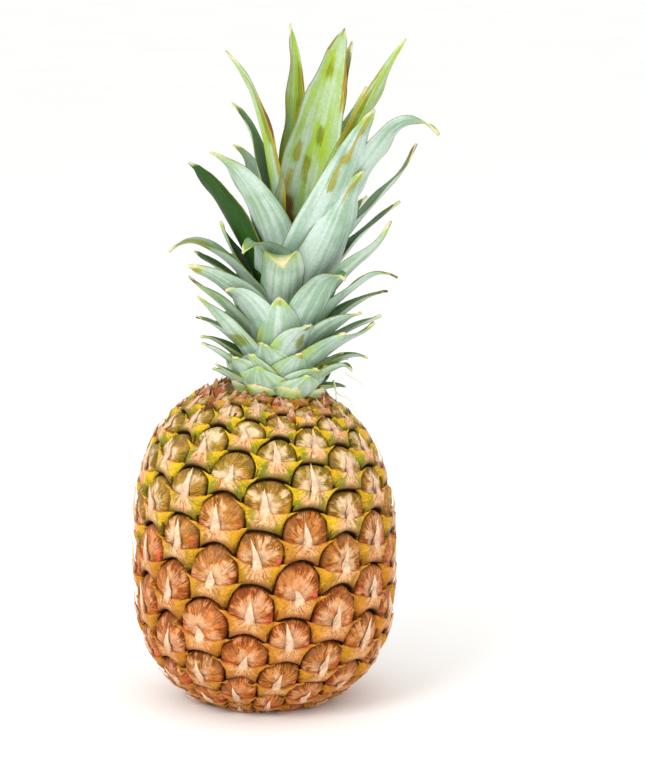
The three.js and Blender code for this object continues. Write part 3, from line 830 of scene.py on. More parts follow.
def add_bract(build, fruit, eye):
    """A thin scale over the lower part of an eye, with two horns and a papery spike."""
    n = eye.number
    low, high = bract_edges(eye)
    aside = np.abs(BRACT_COLUMNS)
    spike = np.clip(1 - aside / SPIKE_HALF_WIDTH, 0, 1) ** 0.85
    broken = 0.55 if draw(n, 7) > 0.86 else 1.0
    tall = fruit.spike_length * (1 + 0.2 * spread(n, 2)) * broken * mix(1, 1.25, eye.dry)

    rise = BRACT_ROWS[:, None]
    x, y = mix(low[:, 0], high[:, 0], rise), mix(low[:, 1], high[:, 1], rise)
    spiking = spike * np.clip((rise - 0.5) / 0.5, 0, 1) ** 1.2
    y = y + tall * spiking
    x = x + 0.22 * spread(n, 1) * spiking**1.5
    part = eye.share(x, y)
    horn = smooth(0.62, 0.92, aside)
    dome = eye.dome(fruit, x, np.minimum(y, 0.75))
    dip = np.maximum(eye.groove(fruit, part), horn * mix(0.35, 0.9, rise**0.6))
    dip = np.maximum(dip, smooth(0.2, 0.6, spiking))
    free = np.maximum(spiking, horn)
    lift = fruit.spike_lift / MM * (0.4 + 1.2 * draw(n, 8) ** 2) + DRY_LIFT * eye.dry
    edge = fruit.edge_lift / MM * smooth(0.35, 1.0, rise) * (1 - smooth(0.1, 0.9, spiking))
    fold = 0.6 * spike * smooth(0.3, 0.8, rise) * (1 - 0.7 * spiking)
    top = dome * dip + mix(0.3, 0.6, rise) + lift * spiking**1.6 + edge + fold + 0.5 * horn * rise
    film = fruit.bract_film / MM
    under = top - mix(film + SUNK_THICKNESS, film, np.clip(1.6 * free, 0, 1))

    across = np.stack((np.broadcast_to(BRACT_COLUMNS, x.shape), spiking, rise * np.ones_like(x)), -1)
    faces = sheet(len(BRACT_ROWS), len(BRACT_COLUMNS))
    points = [trimmed(eye.points(fruit, x, y, z).reshape(-1, 3)) for z in (top, under)]
    looks = {"bract": across.reshape(-1, 3), **eye.looks(x, y)}
    build.add(np.concatenate(points), faces, **doubled(looks))


def build_bracts(fruit):
    """A bract on every eye, but for those that are cut off by the floor or the seat."""
    build = Builder("eye", "ripe", "dry", "blush", "bract")
    for eye in all_eyes():
        climb = eye.middle[1] - BRACT_MIDDLE * CELL_RADIUS
        height = np.interp(climb, OUTLINE["climb"], OUTLINE["height"])
        if climb < SEAT_CLIMB and height > LOWEST_BRACT:
            add_bract(build, fruit, eye)
    return build.piece("bracts", bract_material(fruit), "rind", "fruit")


# ---- Collar -------------------------------------------------------------------------------------

# Rings of dry scales round the seat: how many, distance from the middle, length, width, and lean
# from the rind at the root and at the tip.
COLLAR_RINGS = (
    (24, 36.5, 9.0, 8.0, 2, 18),
    (22, 32.0, 7.5, 8.5, 4, 26),
    (20, 28.0, 5.5, 8.0, 8, 30),
)
SCALE_ROWS = np.linspace(0, 1, 13)
SCALE_COLUMNS = np.linspace(-1, 1, 9)
SCALE_WIDEST = 0.25  # share of the length
SCALE_SUNK = 1.2  # how far a scale's root is sunk in the rind
SCALE_FIBRES = 12  # millimetres to a unit of the fibres' pattern


def scale_width_share(t):
    if t < SCALE_WIDEST:
        return mix(0.8, 1, t / SCALE_WIDEST)
    return 1 - 0.96 * ((t - SCALE_WIDEST) / (1 - SCALE_WIDEST)) ** 1.3


def add_scale(build, n, azimuth, radius, long, width, lean, tip_lean):
    """A dry papery scale that lies on the rind and turns up at its tip."""
    upper = OUTLINE["height"] > WIDEST_AT
    keys = ("radius", "height", "out", "up")
    radii, *others = (OUTLINE[key][upper] for key in keys)
    level, outward, upward = (np.interp(-radius, -radii, values) for values in others)
    forward = np.array((math.cos(azimuth), math.sin(azimuth), 0))
    side = np.array((-math.sin(azimuth), math.cos(azimuth), 0))
    upright = np.array((0.0, 0.0, 1.0))
    slope = outward * upright - upward * forward
    normal = outward * forward + upward * upright
    middle = radius * forward + level * upright - SCALE_SUNK * normal
    angles = np.radians(mix(lean, tip_lean, SCALE_ROWS**1.3))
    u = SCALE_COLUMNS[:, None]
    outer = []
    inner = []
    for k, (t, angle) in enumerate(zip(SCALE_ROWS, angles)):
        along = math.cos(angle) * slope + math.sin(angle) * normal
        out = math.cos(angle) * normal - math.sin(angle) * slope
        if k:
            middle = middle + along * long * (t - SCALE_ROWS[k - 1])
        wide = width / 2 * scale_width_share(t)
        curl = 0.5 * ripple(2 * SCALE_COLUMNS, 4 * t, n + 900)[:, None] * smooth(0.1, 0.5, t)
        skew = 0.25 * spread(n, 15) * long * t**2
        points = middle + side * (wide * u + skew) - out * (0.5 * wide * u**2) + out * curl
        film = mix(0.45, 0.12, t) * (1 - 0.6 * u**2)
        outer.append(points + out * film)
        inner.append(points - out * film)
    along, across = grid_places(SCALE_ROWS, SCALE_COLUMNS)
    seed = np.full(along.size, draw(n, 16))
    looks = {
        "scale": np.stack((across, along, seed), -1),
        "blade": np.stack((across * width / SCALE_FIBRES, along * long / SCALE_FIBRES, seed), -1),
    }
    faces = sheet(len(SCALE_ROWS), len(SCALE_COLUMNS))[:, ::-1]
    build.add(lean_over(np.concatenate(outer + inner)), faces, **doubled(looks))


def build_collar(fruit):
    """Dry scales crowded round the seat of the crown."""
    build = Builder("scale", "blade")
    n = 0
    for count, radius, long, width, lean, tip_lean in COLLAR_RINGS:
        for k in range(count):
            n += 1
            azimuth = TURN * (k + 0.3 * spread(n, 17)) / count + radius
            size = long * (1 + 0.5 * spread(n, 19)), width * (1 + 0.4 * spread(n, 20))
            leans = lean + 10 * spread(n, 21), tip_lean + 28 * spread(n, 22)
            add_scale(build, n, azimuth, radius + 1.3 * spread(n, 18), *size, *leans)
    return build.piece("collar_scales", scale_material(fruit), "rind", "fruit")


# ---- Stalk --------------------------------------------------------------------------------------


# The stalk's side, as [radius, height] pairs, and how far its rough cut face reaches.
STALK_SIDE = ((11.7, 0.05), (12.1, 0.3), (12.35, 0.8), (12.4, 3.0), (12.4, 7.0), (12.4, STALK_LENGTH))
CUT_FACE = 11.2
STALK_SIDES = 120


def build_stalk(fruit):
    """The cut end of the stalk, a little rough round its edge and across its face."""
    face = [(r, 0.0) for r in np.linspace(1.2, 11.0, 9)]
    points, faces = turned([(0.0, 0.0), *face, *STALK_SIDE, (0.0, STALK_LENGTH)], STALK_SIDES)
    angle = np.arctan2(points[:, 1], points[:, 0])
    radius = np.hypot(points[:, 0], points[:, 1])
    ridge = 0.12 * np.sin(23 * angle) + 0.1 * np.sin(9 * angle + 1)
    points[:, :2] *= (1 - 0.012 * smooth(9, 12, radius) * (0.5 + ridge))[:, None]
    rough = 0.25 + 0.25 * ripple(points[:, 0] * 1.3, points[:, 1] * 1.3, 77)
    on_face = (points[:, 2] < 0.2) & (radius < CUT_FACE)
    points[:, 2] += np.where(on_face, rough * smooth(CUT_FACE, 9.0, radius), 0)
    build = Builder()
    build.add(points, faces[:, ::-1])
    return build.piece("stalk_end", stalk_material(fruit), "stalk", "stalk")


# ---- The crown ----------------------------------------------------------------------------------


def stem_radius(z):
    """The stem's radius at a height above the seat."""
    return mix(STEM_RADIUS, STEM_TIP, (max(0, z) / STEM_HEIGHT) ** 0.9)


def crown_place(points):
    """From the crown's own frame, which stands on its seat, to the pineapple's."""
    tilt = Quaternion((0, 1, 0), CROWN_TILT).to_matrix()
    slope = Quaternion((0, 1, 0), LEAN).to_matrix()
    seat = lean_over(np.array((0.0, 0.0, SEAT_AT)))
    moved = np.asarray(points) @ np.array(tilt).T + (CROWN_OFFSET, 0, GAP)
    return moved @ np.array(slope).T + seat


class Leaf:
    """One leaf of the crown: its middle line, and its blade across it."""

    SUBSTEPS = 144  # of the middle line

    def __init__(self, number, row):
        self.number = number
        azimuth, self.root, self.length, self.width, *shape, colouring = row
        self.lean_at_root, self.lean_at_tip, self.bend, self.twist, self.hook = shape
        self.yellow, self.middle, self.dry, self.outer_dark, self.inner_dark, self.brown_tip = colouring
        self.azimuth = math.radians(azimuth)
        self.taper = BLUNT if colouring == CREAM else LATE_TAPER.get(number, TAPER)
        self.rows = self.midrib()

    def midrib(self):
        """Where the middle of the leaf is, with its directions along, out and aside, step by step."""
        depth = mix(*ROOT_DEPTH, float(smooth(*ROOT_LENGTH, self.length)))
        start = stem_radius(self.root) - depth
        forward = Vector((math.cos(self.azimuth), math.sin(self.azimuth), 0))
        at = forward * start + Vector((0, 0, self.root))
        rows = []
        for j in range(self.SUBSTEPS + 1):
            t = j / self.SUBSTEPS
            arch = mix(self.lean_at_root, self.lean_at_tip, t**ARCH)
            lean = math.radians(arch + self.hook * float(smooth(HOOK_FROM, 1, t)))
            along = forward * math.sin(lean) + Vector((0, 0, math.cos(lean)))
            out = forward * math.cos(lean) - Vector((0, 0, math.sin(lean)))
            side = Vector((-forward.y, forward.x, 0))
            turn = Quaternion(out, math.radians(-self.bend * t))
            along, side = turn @ along, turn @ side
            turn = Quaternion(along, math.radians(self.twist * t))
            out, side = turn @ out, turn @ side
            rows.append((at.copy(), along, out, side))
            at += along * (self.length / self.SUBSTEPS)
        return rows

    def width_share(self, t):
        """How wide the leaf is at t, as a share of its widest."""
        if t < WIDEST_SHARE:
            return mix(ROOT_WIDTH, 1, math.sin(math.pi / 2 * t / WIDEST_SHARE))
        return mix(1, TIP_WIDTH, ((t - WIDEST_SHARE) / (1 - WIDEST_SHARE)) ** self.taper)

    def section(self, crown, t, u):
        """Outer and inner points across the blade at t, for places u from edge to edge."""
        at, _, out, side = (np.array(v) for v in self.rows[round(t * self.SUBSTEPS)])
        n = self.number
        width = self.width * self.width_share(t)
        cup = mix(ROOT_CUP, TIP_CUP, t)
        middle = crown.middle_thickness / MM * mix(1, 0.5, t)
        edge = crown.edge_thickness / MM
        thickness = mix(middle, edge, np.abs(u) ** 1.5)
        pace = self.length / WAVE_SPAN
        wave = np.sin(TURN * draw(n, 31) + pace * t * 2.1 + np.sign(u)) * np.abs(u) ** 3
        wave = wave + 0.6 * ripple(2.5 * u, pace * t, n + 500)
        wave = wave * crown.wave / MM * float(smooth(0.08, 0.3, t))
        furl = FURL * float(smooth(0.9, 1, t)) * width
        u = u[:, None]
        normal = out + side * 4 * cup * u
        normal = normal / np.linalg.norm(normal, axis=1)[:, None]
        centre = at + side * width / 2 * u - out * (cup * width + furl) * u**2 + normal * wave[:, None]
        half = normal * thickness[:, None] / 2
        return centre + half, centre - half

    def looks(self, t, u):
        """How yellow, dry and stained the blade is at each place, and how brown a stain is.

        It is yellow at its base, along the seams of a short leaf and before its dry tip, which is
        scorched here and there. Every edge of these wanders.
        """
        n = self.number
        wander = 0.5 + 0.5 * ripple(3 * u, 7 * t, n + 700)
        base = 1 - smooth(0.02, 0.22 - 0.06 * self.length / 100, t)
        yellow = self.yellow * (0.35 + 0.65 * smooth(0.1, 0.5, t)) * (1 - self.middle * np.abs(u) ** 1.5)
        yellow = np.maximum(yellow * (0.5 + 0.7 * wander), 0.85 * base)
        if self.length < SHORT:
            seam = smooth(0.4, 0.95, np.abs(u) + 0.2 * (wander - 0.5)) * (1 - smooth(0.35, 0.8, t))
            yellow = np.maximum(yellow, 0.75 * seam)
        tip = smooth(1 - 3.6 * self.dry, 1 - 0.8 * self.dry, t + 0.04 * (np.abs(u) - wander))
        yellow = np.maximum(yellow, 0.9 * tip)
        dry = smooth(1 - 1.25 * self.dry, 1 - 0.35 * self.dry, t + 0.05 * (np.abs(u) - wander))
        stain = np.zeros_like(t)
        brown = np.zeros_like(t)
        for leaf, along, across, long, wide, browning in STAINS:
            if leaf == n:
                spot = bump(t - along, long) * bump(u - across, wide)
                spot = smooth(0.3, 0.8, spot + 0.25 * (wander - 0.5))
                brown = np.maximum(brown, browning * spot)
                stain = np.maximum(stain, spot)
        scorched = dry * smooth(0.25, 0.65, wander) * (0.5 + 0.5 * np.abs(u))
        brown = np.maximum(brown, self.brown_tip * scorched)
        return {"yellow": yellow, "dry": dry, "stain": stain, "brown": brown}


def add_leaf(build, crown, leaf):
    """A blade with an outer and an inner face, closed all round."""
    t = np.linspace(0, 1, ALONG + 1)
    outer, inner = zip(*(leaf.section(crown, part, ACROSS) for part in t))
    along, across = grid_places(t, ACROSS)
    seed = np.full(along.size, draw(leaf.number, 60))
    blade = np.stack((across * leaf.width / LEAF_FIBRES, along * leaf.length / LEAF_FIBRES, seed), -1)
    looks = doubled({"blade": blade, "margin": np.abs(across), **leaf.looks(along, across)})
    dark = np.repeat((leaf.outer_dark, leaf.inner_dark), along.size)
    points = crown_place(np.concatenate(outer + inner))
    build.add(points, sheet(ALONG + 1, len(ACROSS)), dark=dark, **looks)


def plain_leaf_looks(blade, **values):
    """The layers of something in the crown that isn't a leaf."""
    layers = {key: np.zeros(len(blade)) + values.get(key, 0) for key in LEAF_LAYERS}
    return {**layers, "blade": blade}


def add_thread(build, thickness, yellow, path):
    """A dry thread along a smooth curve through a few points, thinner towards its end."""
    t = np.linspace(0, 1, THREAD_STEPS + 1)
    steps = np.linspace(0, 1, len(path))
    weights = [np.prod([(t - s) / (k - s) for s in steps if s != k], axis=0) for k in steps]
    line = np.transpose(weights) @ np.array(path)
    ahead = np.gradient(line, axis=0)
    ahead /= np.linalg.norm(ahead, axis=1)[:, None]
    side = np.cross(ahead, (0.0, 1.0, 0.0))
    side /= np.linalg.norm(side, axis=1)[:, None]
    over = np.cross(side, ahead)
    angle = TURN * np.arange(THREAD_SIDES)[None, :, None] / THREAD_SIDES
    ring = np.cos(angle) * side[:, None] + np.sin(angle) * over[:, None]
    points = (line[:, None] + thickness * mix(1, 0.3, t)[:, None, None] * ring).reshape(-1, 3)
    rows = np.arange(len(points)).reshape(-1, THREAD_SIDES)
    faces = [quads(a, b, closed=True) for a, b in zip(rows, rows[1:])]
    fan = [(0, k, k + 1) for k in range(1, THREAD_SIDES - 1)]
    faces += [rows[0][fan][:, ::-1], rows[-1][fan]]
    rise = np.repeat(t, THREAD_SIDES)
    blade = np.stack((0 * rise, rise, np.full(len(rise), 0.4)), -1)
    looks = plain_leaf_looks(blade, yellow=yellow, dry=1 - yellow, brown=0.3 * (1 - yellow))
    build.add(points, np.concatenate(faces), **looks)


def foot_scales():
    """Rows for a ring of short scales right round the foot of the crown."""
    for k in range(FOOT_SCALES):
        azimuth = 360 * (((k + 0.35) * GOLDEN_SECTION) % 1)
        root = mix(-2, 4, k / (FOOT_SCALES - 1))
        long, lean = 14 + 1.5 * spread(k, 11), 42 + 4 * spread(k, 12)
        tip_lean, twist = 12 + 6 * spread(k, 13), 5 * spread(k, 14)
        yield azimuth, root, long, 25, lean, tip_lean, 0, twist, 0, FOOT


def back_blades():
    """Rows for longer blades at the back, climbing the stem by the golden section."""
    for k in range(BACK_BLADES):
        rise = k / (BACK_BLADES - 1)
        around = 2 * ((k * GOLDEN_SECTION) % 1) - 1
        yield (
            BACK_MIDDLE + around * mix(*BACK_REACH, float(smooth(0, 0.4, rise))),
            mix(3, 46, rise),
            19 + 60 * rise**1.2 + 5 * spread(k, 4),
            23 + 2 * spread(k, 5) - 2 * rise,
            26 - 6 * rise + 5 * spread(k, 6),
            42 + 14 * math.sin(math.pi * rise) + 9 * spread(k, 7),
            6 * spread(k, 8),
            12 * spread(k, 9),
            20 + 28 * spread(k, 10),
            (WAXY, PALE_TIP, DRY_TIP)[k % 3],
        )


def build_leaves(crown):
    """The leaves, from the foot of the crown to its heart, in three tiers."""
    rows = [*FRONT_LEAVES, *SIDE_SCALES, *foot_scales(), *back_blades(), *CREAM_SCALES]
    leaves = [Leaf(n, row) for n, row in enumerate(rows)]
    material = leaf_material(crown)
    for name, (lowest, highest) in TIERS.items():
        build = Builder(*LEAF_LAYERS)
        for leaf in leaves:
            if lowest <= leaf.root < highest:
                add_leaf(build, crown, leaf)
        for thread in THREADS if name == "low_leaves" else ():
            add_thread(build, *thread)
        build.piece(name, material, "leaf", "crown", keep=lambda middles: middles[:, 2] > 0)


def build_stem(crown):
    """The stem that the leaves grow from."""
    side = [(stem_radius(z), z) for z in np.linspace(0, STEM_HEIGHT - 2, 14)]
    points, faces = turned([(0.0, 0.0), *side, (0.0, STEM_HEIGHT)], STEM_SIDES)
    rise = points[:, 2] / STEM_HEIGHT
    angle = np.arctan2(points[:, 1], points[:, 0])
    blade = np.stack((3 * np.cos(angle), 3 * rise, np.full(len(rise), 0.3)), -1)
    brown = smooth(0.2, 0.6, rise)
    looks = {"dark": smooth(0.3, 0.8, rise), "yellow": 1 - 0.5 * rise, "stain": 0.5 * brown, "brown": brown}
    build = Builder(*LEAF_LAYERS)
    build.add(crown_place(points), faces, **plain_leaf_looks(blade, **looks))
    return build.piece("crown_stem", leaf_material(crown, "stem skin"), "leaf", "crown")


# ---- Materials ----------------------------------------------------------------------------------


class Value:
    """A number, a place or a colour on its way through a tree of nodes."""

    def __init__(self, tree, socket):
        self.tree = tree
        self.socket = socket

    def node(self, kind, feeds, output=0, **settings):
        return Value(self.tree, add_node(self.tree, kind, feeds, **settings).outputs[output])

    def math(self, operation, other=0.0):
        return self.node("ShaderNodeMath", {0: self, 1: other}, operation=operation)

    def __add__(self, other):
        return self.math("ADD", other)

    def __sub__(self, other):
        return self.math("SUBTRACT", other)

    def __mul__(self, other):
        return self.math("MULTIPLY", other)

    def __abs__(self):
        return self.math("ABSOLUTE")

    def smooth(self, start, end, low=0.0, high=1.0):
        feeds = {"Value": self, 1: start, 2: end, 3: low, 4: high}
        return self.node("ShaderNodeMapRange", feeds, interpolation_type="SMOOTHSTEP")

    def shifted(self, noise, reach):
        """Moved up or down by a noise between 0 and 1."""
        return self + (noise - 0.5) * reach

    def mean(self, other, share_of_other):
        return self.node("ShaderNodeMix", {0: share_of_other, 2: self, 3: other}, data_type="FLOAT")

    def blend(self, start, end):
        """A colour between two others, with this value as the share of the second."""
        start, end = (c if isinstance(c, Value) else (*c, 1) for c in (start, end))
        return self.node("ShaderNodeMix", {0: self, 6: start, 7: end}, 2, data_type="RGBA")

    def speckled(self, noise, low, high):
        """This colour made darker and lighter by a noise between 0 and 1."""
        tint = noise.smooth(0.0, 1.0, low, high)
        feeds = {0: 1.0, 6: self, 7: joined(tint, tint, tint)}
        return self.node("ShaderNodeMix", feeds, 2, data_type="RGBA", blend_type="MULTIPLY")

    def split(self):
        parts = add_node(self.tree, "ShaderNodeSeparateXYZ", {0: self}).outputs
        return [Value(self.tree, part) for part in parts]

    def noise(self, scale, detail, roughness, output=0):
        """A noise over this place."""
        feeds = {"Vector": self, "Scale": scale, "Detail": detail, "Roughness": roughness}
        return self.node("ShaderNodeTexNoise", feeds, output)

    def warped(self, scale, reach):
        """This place moved about by a soft noise, so that what is drawn there isn't too regular."""
        feeds = {0: self.noise(scale, 2.0, 0.5, "Color"), 1: (0.5, 0.5, 0.5)}
        centred = self.node("ShaderNodeVectorMath", feeds, operation="SUBTRACT")
        feeds = {0: centred, 1: (reach, reach, 0.0), 2: self}
        return self.node("ShaderNodeVectorMath", feeds, operation="MULTIPLY_ADD")


def add_node(tree, kind, feeds, **settings):
    """A new node, joined to the values that feed it."""
    made = tree.nodes.new(kind)
    for key, value in settings.items():
        setattr(made, key, value)
    for key, value in feeds.items():
        if isinstance(value, Value):
            tree.links.new(value.socket, made.inputs[key])
        else:
            made.inputs[key].default_value = value
    return made


def joined(x, y, z):
    return x.node("ShaderNodeCombineXYZ", {0: x, 1: y, 2: z})


def place_in(tree):
    """The object's own coordinates."""
    return Value(tree, add_node(tree, "ShaderNodeTexCoord", {}).outputs["Object"])


def node_group(name, inputs, outputs, wire):
    """A node group with named sockets, built once and then shared."""
    if name in bpy.data.node_groups:
        return bpy.data.node_groups[name]
    tree = bpy.data.node_groups.new(name, "ShaderNodeTree")
    for key, kind in inputs.items():
        tree.interface.new_socket(name=key, in_out="INPUT", socket_type=f"NodeSocket{kind}")
    for key in outputs:
        tree.interface.new_socket(name=key, in_out="OUTPUT", socket_type="NodeSocketFloat")
    entry = tree.nodes.new("NodeGroupInput").outputs
    results = wire(*(Value(tree, entry[key]) for key in inputs))
    add_node(tree, "NodeGroupOutput", dict(enumerate(results)))
    return tree


def radial_fibres():
    """Fine streaks that run out from the middle of an eye or a cut face."""

    def wire(place, count):
        x, y, seed = place.split()
        angle = y.math("ARCTAN2", x)
        radius = (x * x + y * y).math("POWER", 0.5)
        depth = seed * 37.0 + radius * 1.4
        spokes = joined(angle.math("COSINE") * count, angle.math("SINE") * count, depth)
        return [spokes.noise(1.0, 3.0, 0.6).smooth(0.34, 0.66)]

    inputs = {"Place": "Vector", "Count": "Float"}
    return node_group("radial fibres", inputs, ["Streak"], wire)


def mottle():
    """Uneven tone at two sizes, over the object's own coordinates."""

    def wire(broad_scale, fine_scale):
        place = place_in(broad_scale.tree)
        broad = place.noise(broad_scale, 2.0, 0.5)
        fine = place.noise(fine_scale, 4.0, 0.65)
        return broad.smooth(0.36, 0.64), fine.smooth(0.3, 0.7)

    inputs = {"Broad scale": "Float", "Fine scale": "Float"}
    return node_group("mottle", inputs, ("Broad", "Fine"), wire)


def long_fibres():
    """Streaks along a leaf: fine ribs, and broader bands where the wax is thin."""

    def wire(blade):
        across, along, seed = blade.split()
        start = seed * 91.0
        ribs = joined(across * 26.0 + start, along * 0.9, start).noise(1.0, 2.0, 0.6)
        bands = joined(across * 4.5 + start, along * 0.55, start).noise(1.0, 3.0, 0.5)
        return ribs.smooth(0.3, 0.7), bands.smooth(0.35, 0.65)

    return node_group("long fibres", {"Blade": "Vector"}, ("Ribs", "Bands"), wire)


class Finish:
    """A material on its way: its sources are read here, and its shader is fed at the end."""

    def __init__(self, name, specular):
        self.material = bpy.data.materials.new(name)
        self.material.use_nodes = True
        self.tree = self.material.node_tree
        self.shader = self.tree.nodes["Principled BSDF"]
        self.shader.inputs["Specular IOR Level"].default_value = specular

    def layer(self, name, output="Fac"):
        made = add_node(self.tree, "ShaderNodeAttribute", {}, attribute_name=name)
        return Value(self.tree, made.outputs[output])

    def use(self, group, *feeds):
        """What a node group puts out for these inputs."""
        made = add_node(self.tree, "ShaderNodeGroup", dict(enumerate(feeds)), node_tree=group)
        return [Value(self.tree, output) for output in made.outputs]

    def made(self, surface, rough, relief=None, strength=0.0, distance=0.0):
        """The material, with its shader fed by a colour, a roughness and a relief."""
        feeds = {"Base Color": surface, "Roughness": rough}
        if relief:
            bump_feeds = {"Height": relief, "Strength": strength, "Distance": distance}
            feeds["Normal"] = relief.node("ShaderNodeBump", bump_feeds)
        for key, value in feeds.items():
            self.tree.links.new(value.socket, self.shader.inputs[key])
        return self.material


def rind_material(fruit):
    finish = Finish("pineapple rind", specular=0.12)
    eye = finish.layer("eye", "Vector")
    part = finish.layer("share")
    ripe = finish.layer("ripe")
    (fibres,) = finish.use(radial_fibres(), eye.warped(3.0, 0.36), 7.0)
    (hairs,) = finish.use(radial_fibres(), eye.warped(5.0, 0.15), 24.0)
    broad, fine = finish.use(mottle(), 190.0, 900.0)
    clouds, grain = finish.use(mottle(), 95.0, 430.0)
    _, y, _ = eye.split()
    streak = fibres.mean(hairs, 0.5)

    out = part.shifted(broad, 0.34)
    disc = ripe.blend(fruit.disc_green, fruit.disc_brown)
    rim = ripe.blend(fruit.rim_green, fruit.rim_brown)
    surface = out.shifted(streak, -0.8).smooth(0.5, 1.0).blend(disc, rim)
    shadow = streak.smooth(0.5, 0.15) * part.smooth(0.2, 0.6, 0.0, 0.85)
    surface = shadow.blend(surface, rim)
    pale = out.shifted(clouds, 0.45).shifted(streak, -0.4).smooth(0.72, 0.05, 0.0, 0.85)
    surface = (pale * ripe.smooth(0.3, 0.95, 1.0, 0.5)).blend(surface, fruit.heart)
    grey = clouds.smooth(0.5, 1.0, 0.0, 0.25) * y.smooth(0.1, 0.5)
    surface = grey.blend(surface, fruit.mauve)
    red = finish.layer("blush") * grain.smooth(0.1, 0.7)
    surface = red.blend(surface, fruit.blush)
    surface = surface.speckled(fine.mean(grain, 0.5), 0.84, 1.16)
    # Painted shade: each eye darkens to the groove colour at its outer edge, where it slopes down into the
    # groove.
    surface = part.shifted(hairs, 0.06).smooth(0.9, 0.99).blend(surface, fruit.groove)

    rough = fine.smooth(0.0, 1.0, 0.36, 0.62).math("MAXIMUM", part.smooth(0.88, 0.99, 0.0, 0.9))
    relief = streak.mean(fine, 0.4).mean(grain, 0.4)
    return finish.made(surface, rough, relief, 0.7, 0.0009)


def bract_material(fruit):
    finish = Finish("bract", specular=0.12)
    ripe = finish.layer("ripe")
    across, spiking, rise = finish.layer("bract", "Vector").split()
    x, y, seed = finish.layer("eye", "Vector").split()
    fan = joined(x, y + -0.1, seed).warped(2.5, 0.16)
    (fibres,) = finish.use(radial_fibres(), fan, 12.0)
    (hairs,) = finish.use(radial_fibres(), fan, 38.0)
    broad, fine = finish.use(mottle(), 210.0, 1000.0)
    streak = fibres.mean(hairs, 0.35)
    aside = abs(across)

    # Yellow towards the horns, and painted light: yellower up towards the upper edge, where the light
    # catches a bract, and greener lower down.
    lit = aside.smooth(0.1, 0.9, 0.2, 0.85).shifted(rise, 1.0).shifted(streak, 0.45)
    lit = lit.shifted(broad, 0.45).smooth(0.25, 1.0)
    surface = lit.blend(fruit.bract_green, fruit.bract_yellow)
    orange = ripe * streak.smooth(0.0, 1.0, 0.6, 0.95)
    surface = orange.blend(surface, fruit.bract_orange)
    middle = aside.smooth(0.7, 0.0, 0.0, 0.95).shifted(streak, 0.7).shifted(broad, 0.4)
    cream = broad.blend(fruit.bract_cream, fruit.bract_rose)
    cream = ripe.smooth(0.3, 0.95, 0.0, 0.4).blend(cream, fruit.bract_orange)
    surface = middle.smooth(0.3, 0.85).blend(surface, cream)
    fibre = streak.smooth(0.5, 0.15) * aside.smooth(0.7, 0.15)
    surface = fibre.blend(surface, fruit.bract_pink)
    lip = rise.smooth(0.92, 1.0, 0.0, 0.7) * aside.smooth(0.9, 0.6)
    surface = lip.blend(surface, fruit.bract_pink)
    surface = spiking.smooth(0.02, 0.3).blend(surface, fruit.spike)
    papery = finish.layer("dry") * broad.smooth(0.0, 1.0, 0.5, 1.0)
    surface = papery.blend(surface, fruit.dry_bract).speckled(fine, 0.84, 1.16)
    fleck = fine.smooth(0.25, 0.0) * aside.smooth(0.4, 0.1, 0.0, 0.8) * spiking.smooth(0.2, 0.0)
    surface = fleck.blend(surface, fruit.fleck)
    # Painted shade: a bract's lower part is darkened towards the rim colours, and its foot in the groove to
    # the groove colour.
    under = ripe.blend(fruit.rim_green, fruit.rim_brown)
    low = rise.smooth(0.7, 0.0).shifted(streak, 0.6).smooth(0.25, 1.05, 0.0, 0.85)
    surface = low.blend(surface, under)
    surface = rise.smooth(0.16, 0.03).blend(surface, fruit.groove)

    rough = fine.smooth(0.0, 1.0, 0.42, 0.66)
    relief = streak.mean(fine, 0.3).mean(broad, 0.3)
    return finish.made(surface, rough, relief, 0.7, 0.0009)


def leaf_material(crown, name="crown leaf"):
    finish = Finish(name, specular=0.18)
    ribs, thin_wax = finish.use(long_fibres(), finish.layer("blade", "Vector"))
    broad, fine = finish.use(mottle(), 60.0, 650.0)
    dark = finish.layer("dark")
    dry = finish.layer("dry")
    golden = finish.layer("yellow")
    browning = finish.layer("brown")
    bands = thin_wax.mean(broad, 0.4)

    surface = bands.smooth(0.1, 1.0).blend(crown.bloom, crown.under_bloom)
    surface = (ribs * 0.22).blend(surface, crown.under_bloom)
    surface = (golden * bands.smooth(0.1, 0.9, 0.4, 1.2)).blend(surface, crown.fresh)
    surface = (dark * bands.smooth(0.0, 1.0, 0.85, 1.0)).blend(surface, crown.inner)
    # Painted shade: where a leaf's darkness passes 1, it darkens further towards the darkest green.
    painted_deep_shade = dark.smooth(1.0, 2.0) * bands.smooth(0.0, 1.0, 0.65, 1.0)
    surface = painted_deep_shade.blend(surface, crown.painted_deep_shade)
    edge = finish.layer("margin").smooth(0.955, 0.995) * dry.smooth(1.0, 0.0, 0.0, 0.8)
    surface = edge.blend(surface, golden.blend(crown.olive, crown.brown))
    stain = finish.layer("stain").shifted(ribs, 0.5).shifted(broad, 0.4)
    worn = browning.smooth(0.05, 0.4).blend(crown.olive, crown.ochre)
    surface = stain.smooth(0.2, 0.85, 0.0, 0.92).blend(surface, worn)
    surface = dry.blend(surface, crown.tan)
    scorch = browning.shifted(ribs, 0.3).shifted(broad, 0.3).smooth(0.55, 0.95)
    surface = scorch.blend(surface, crown.brown).speckled(fine, 0.93, 1.05)

    rough = bands.smooth(0.0, 1.0, 0.6, 0.48) + dry * 0.2
    return finish.made(surface, rough, ribs.mean(fine, 0.15), 0.35, 0.0003)


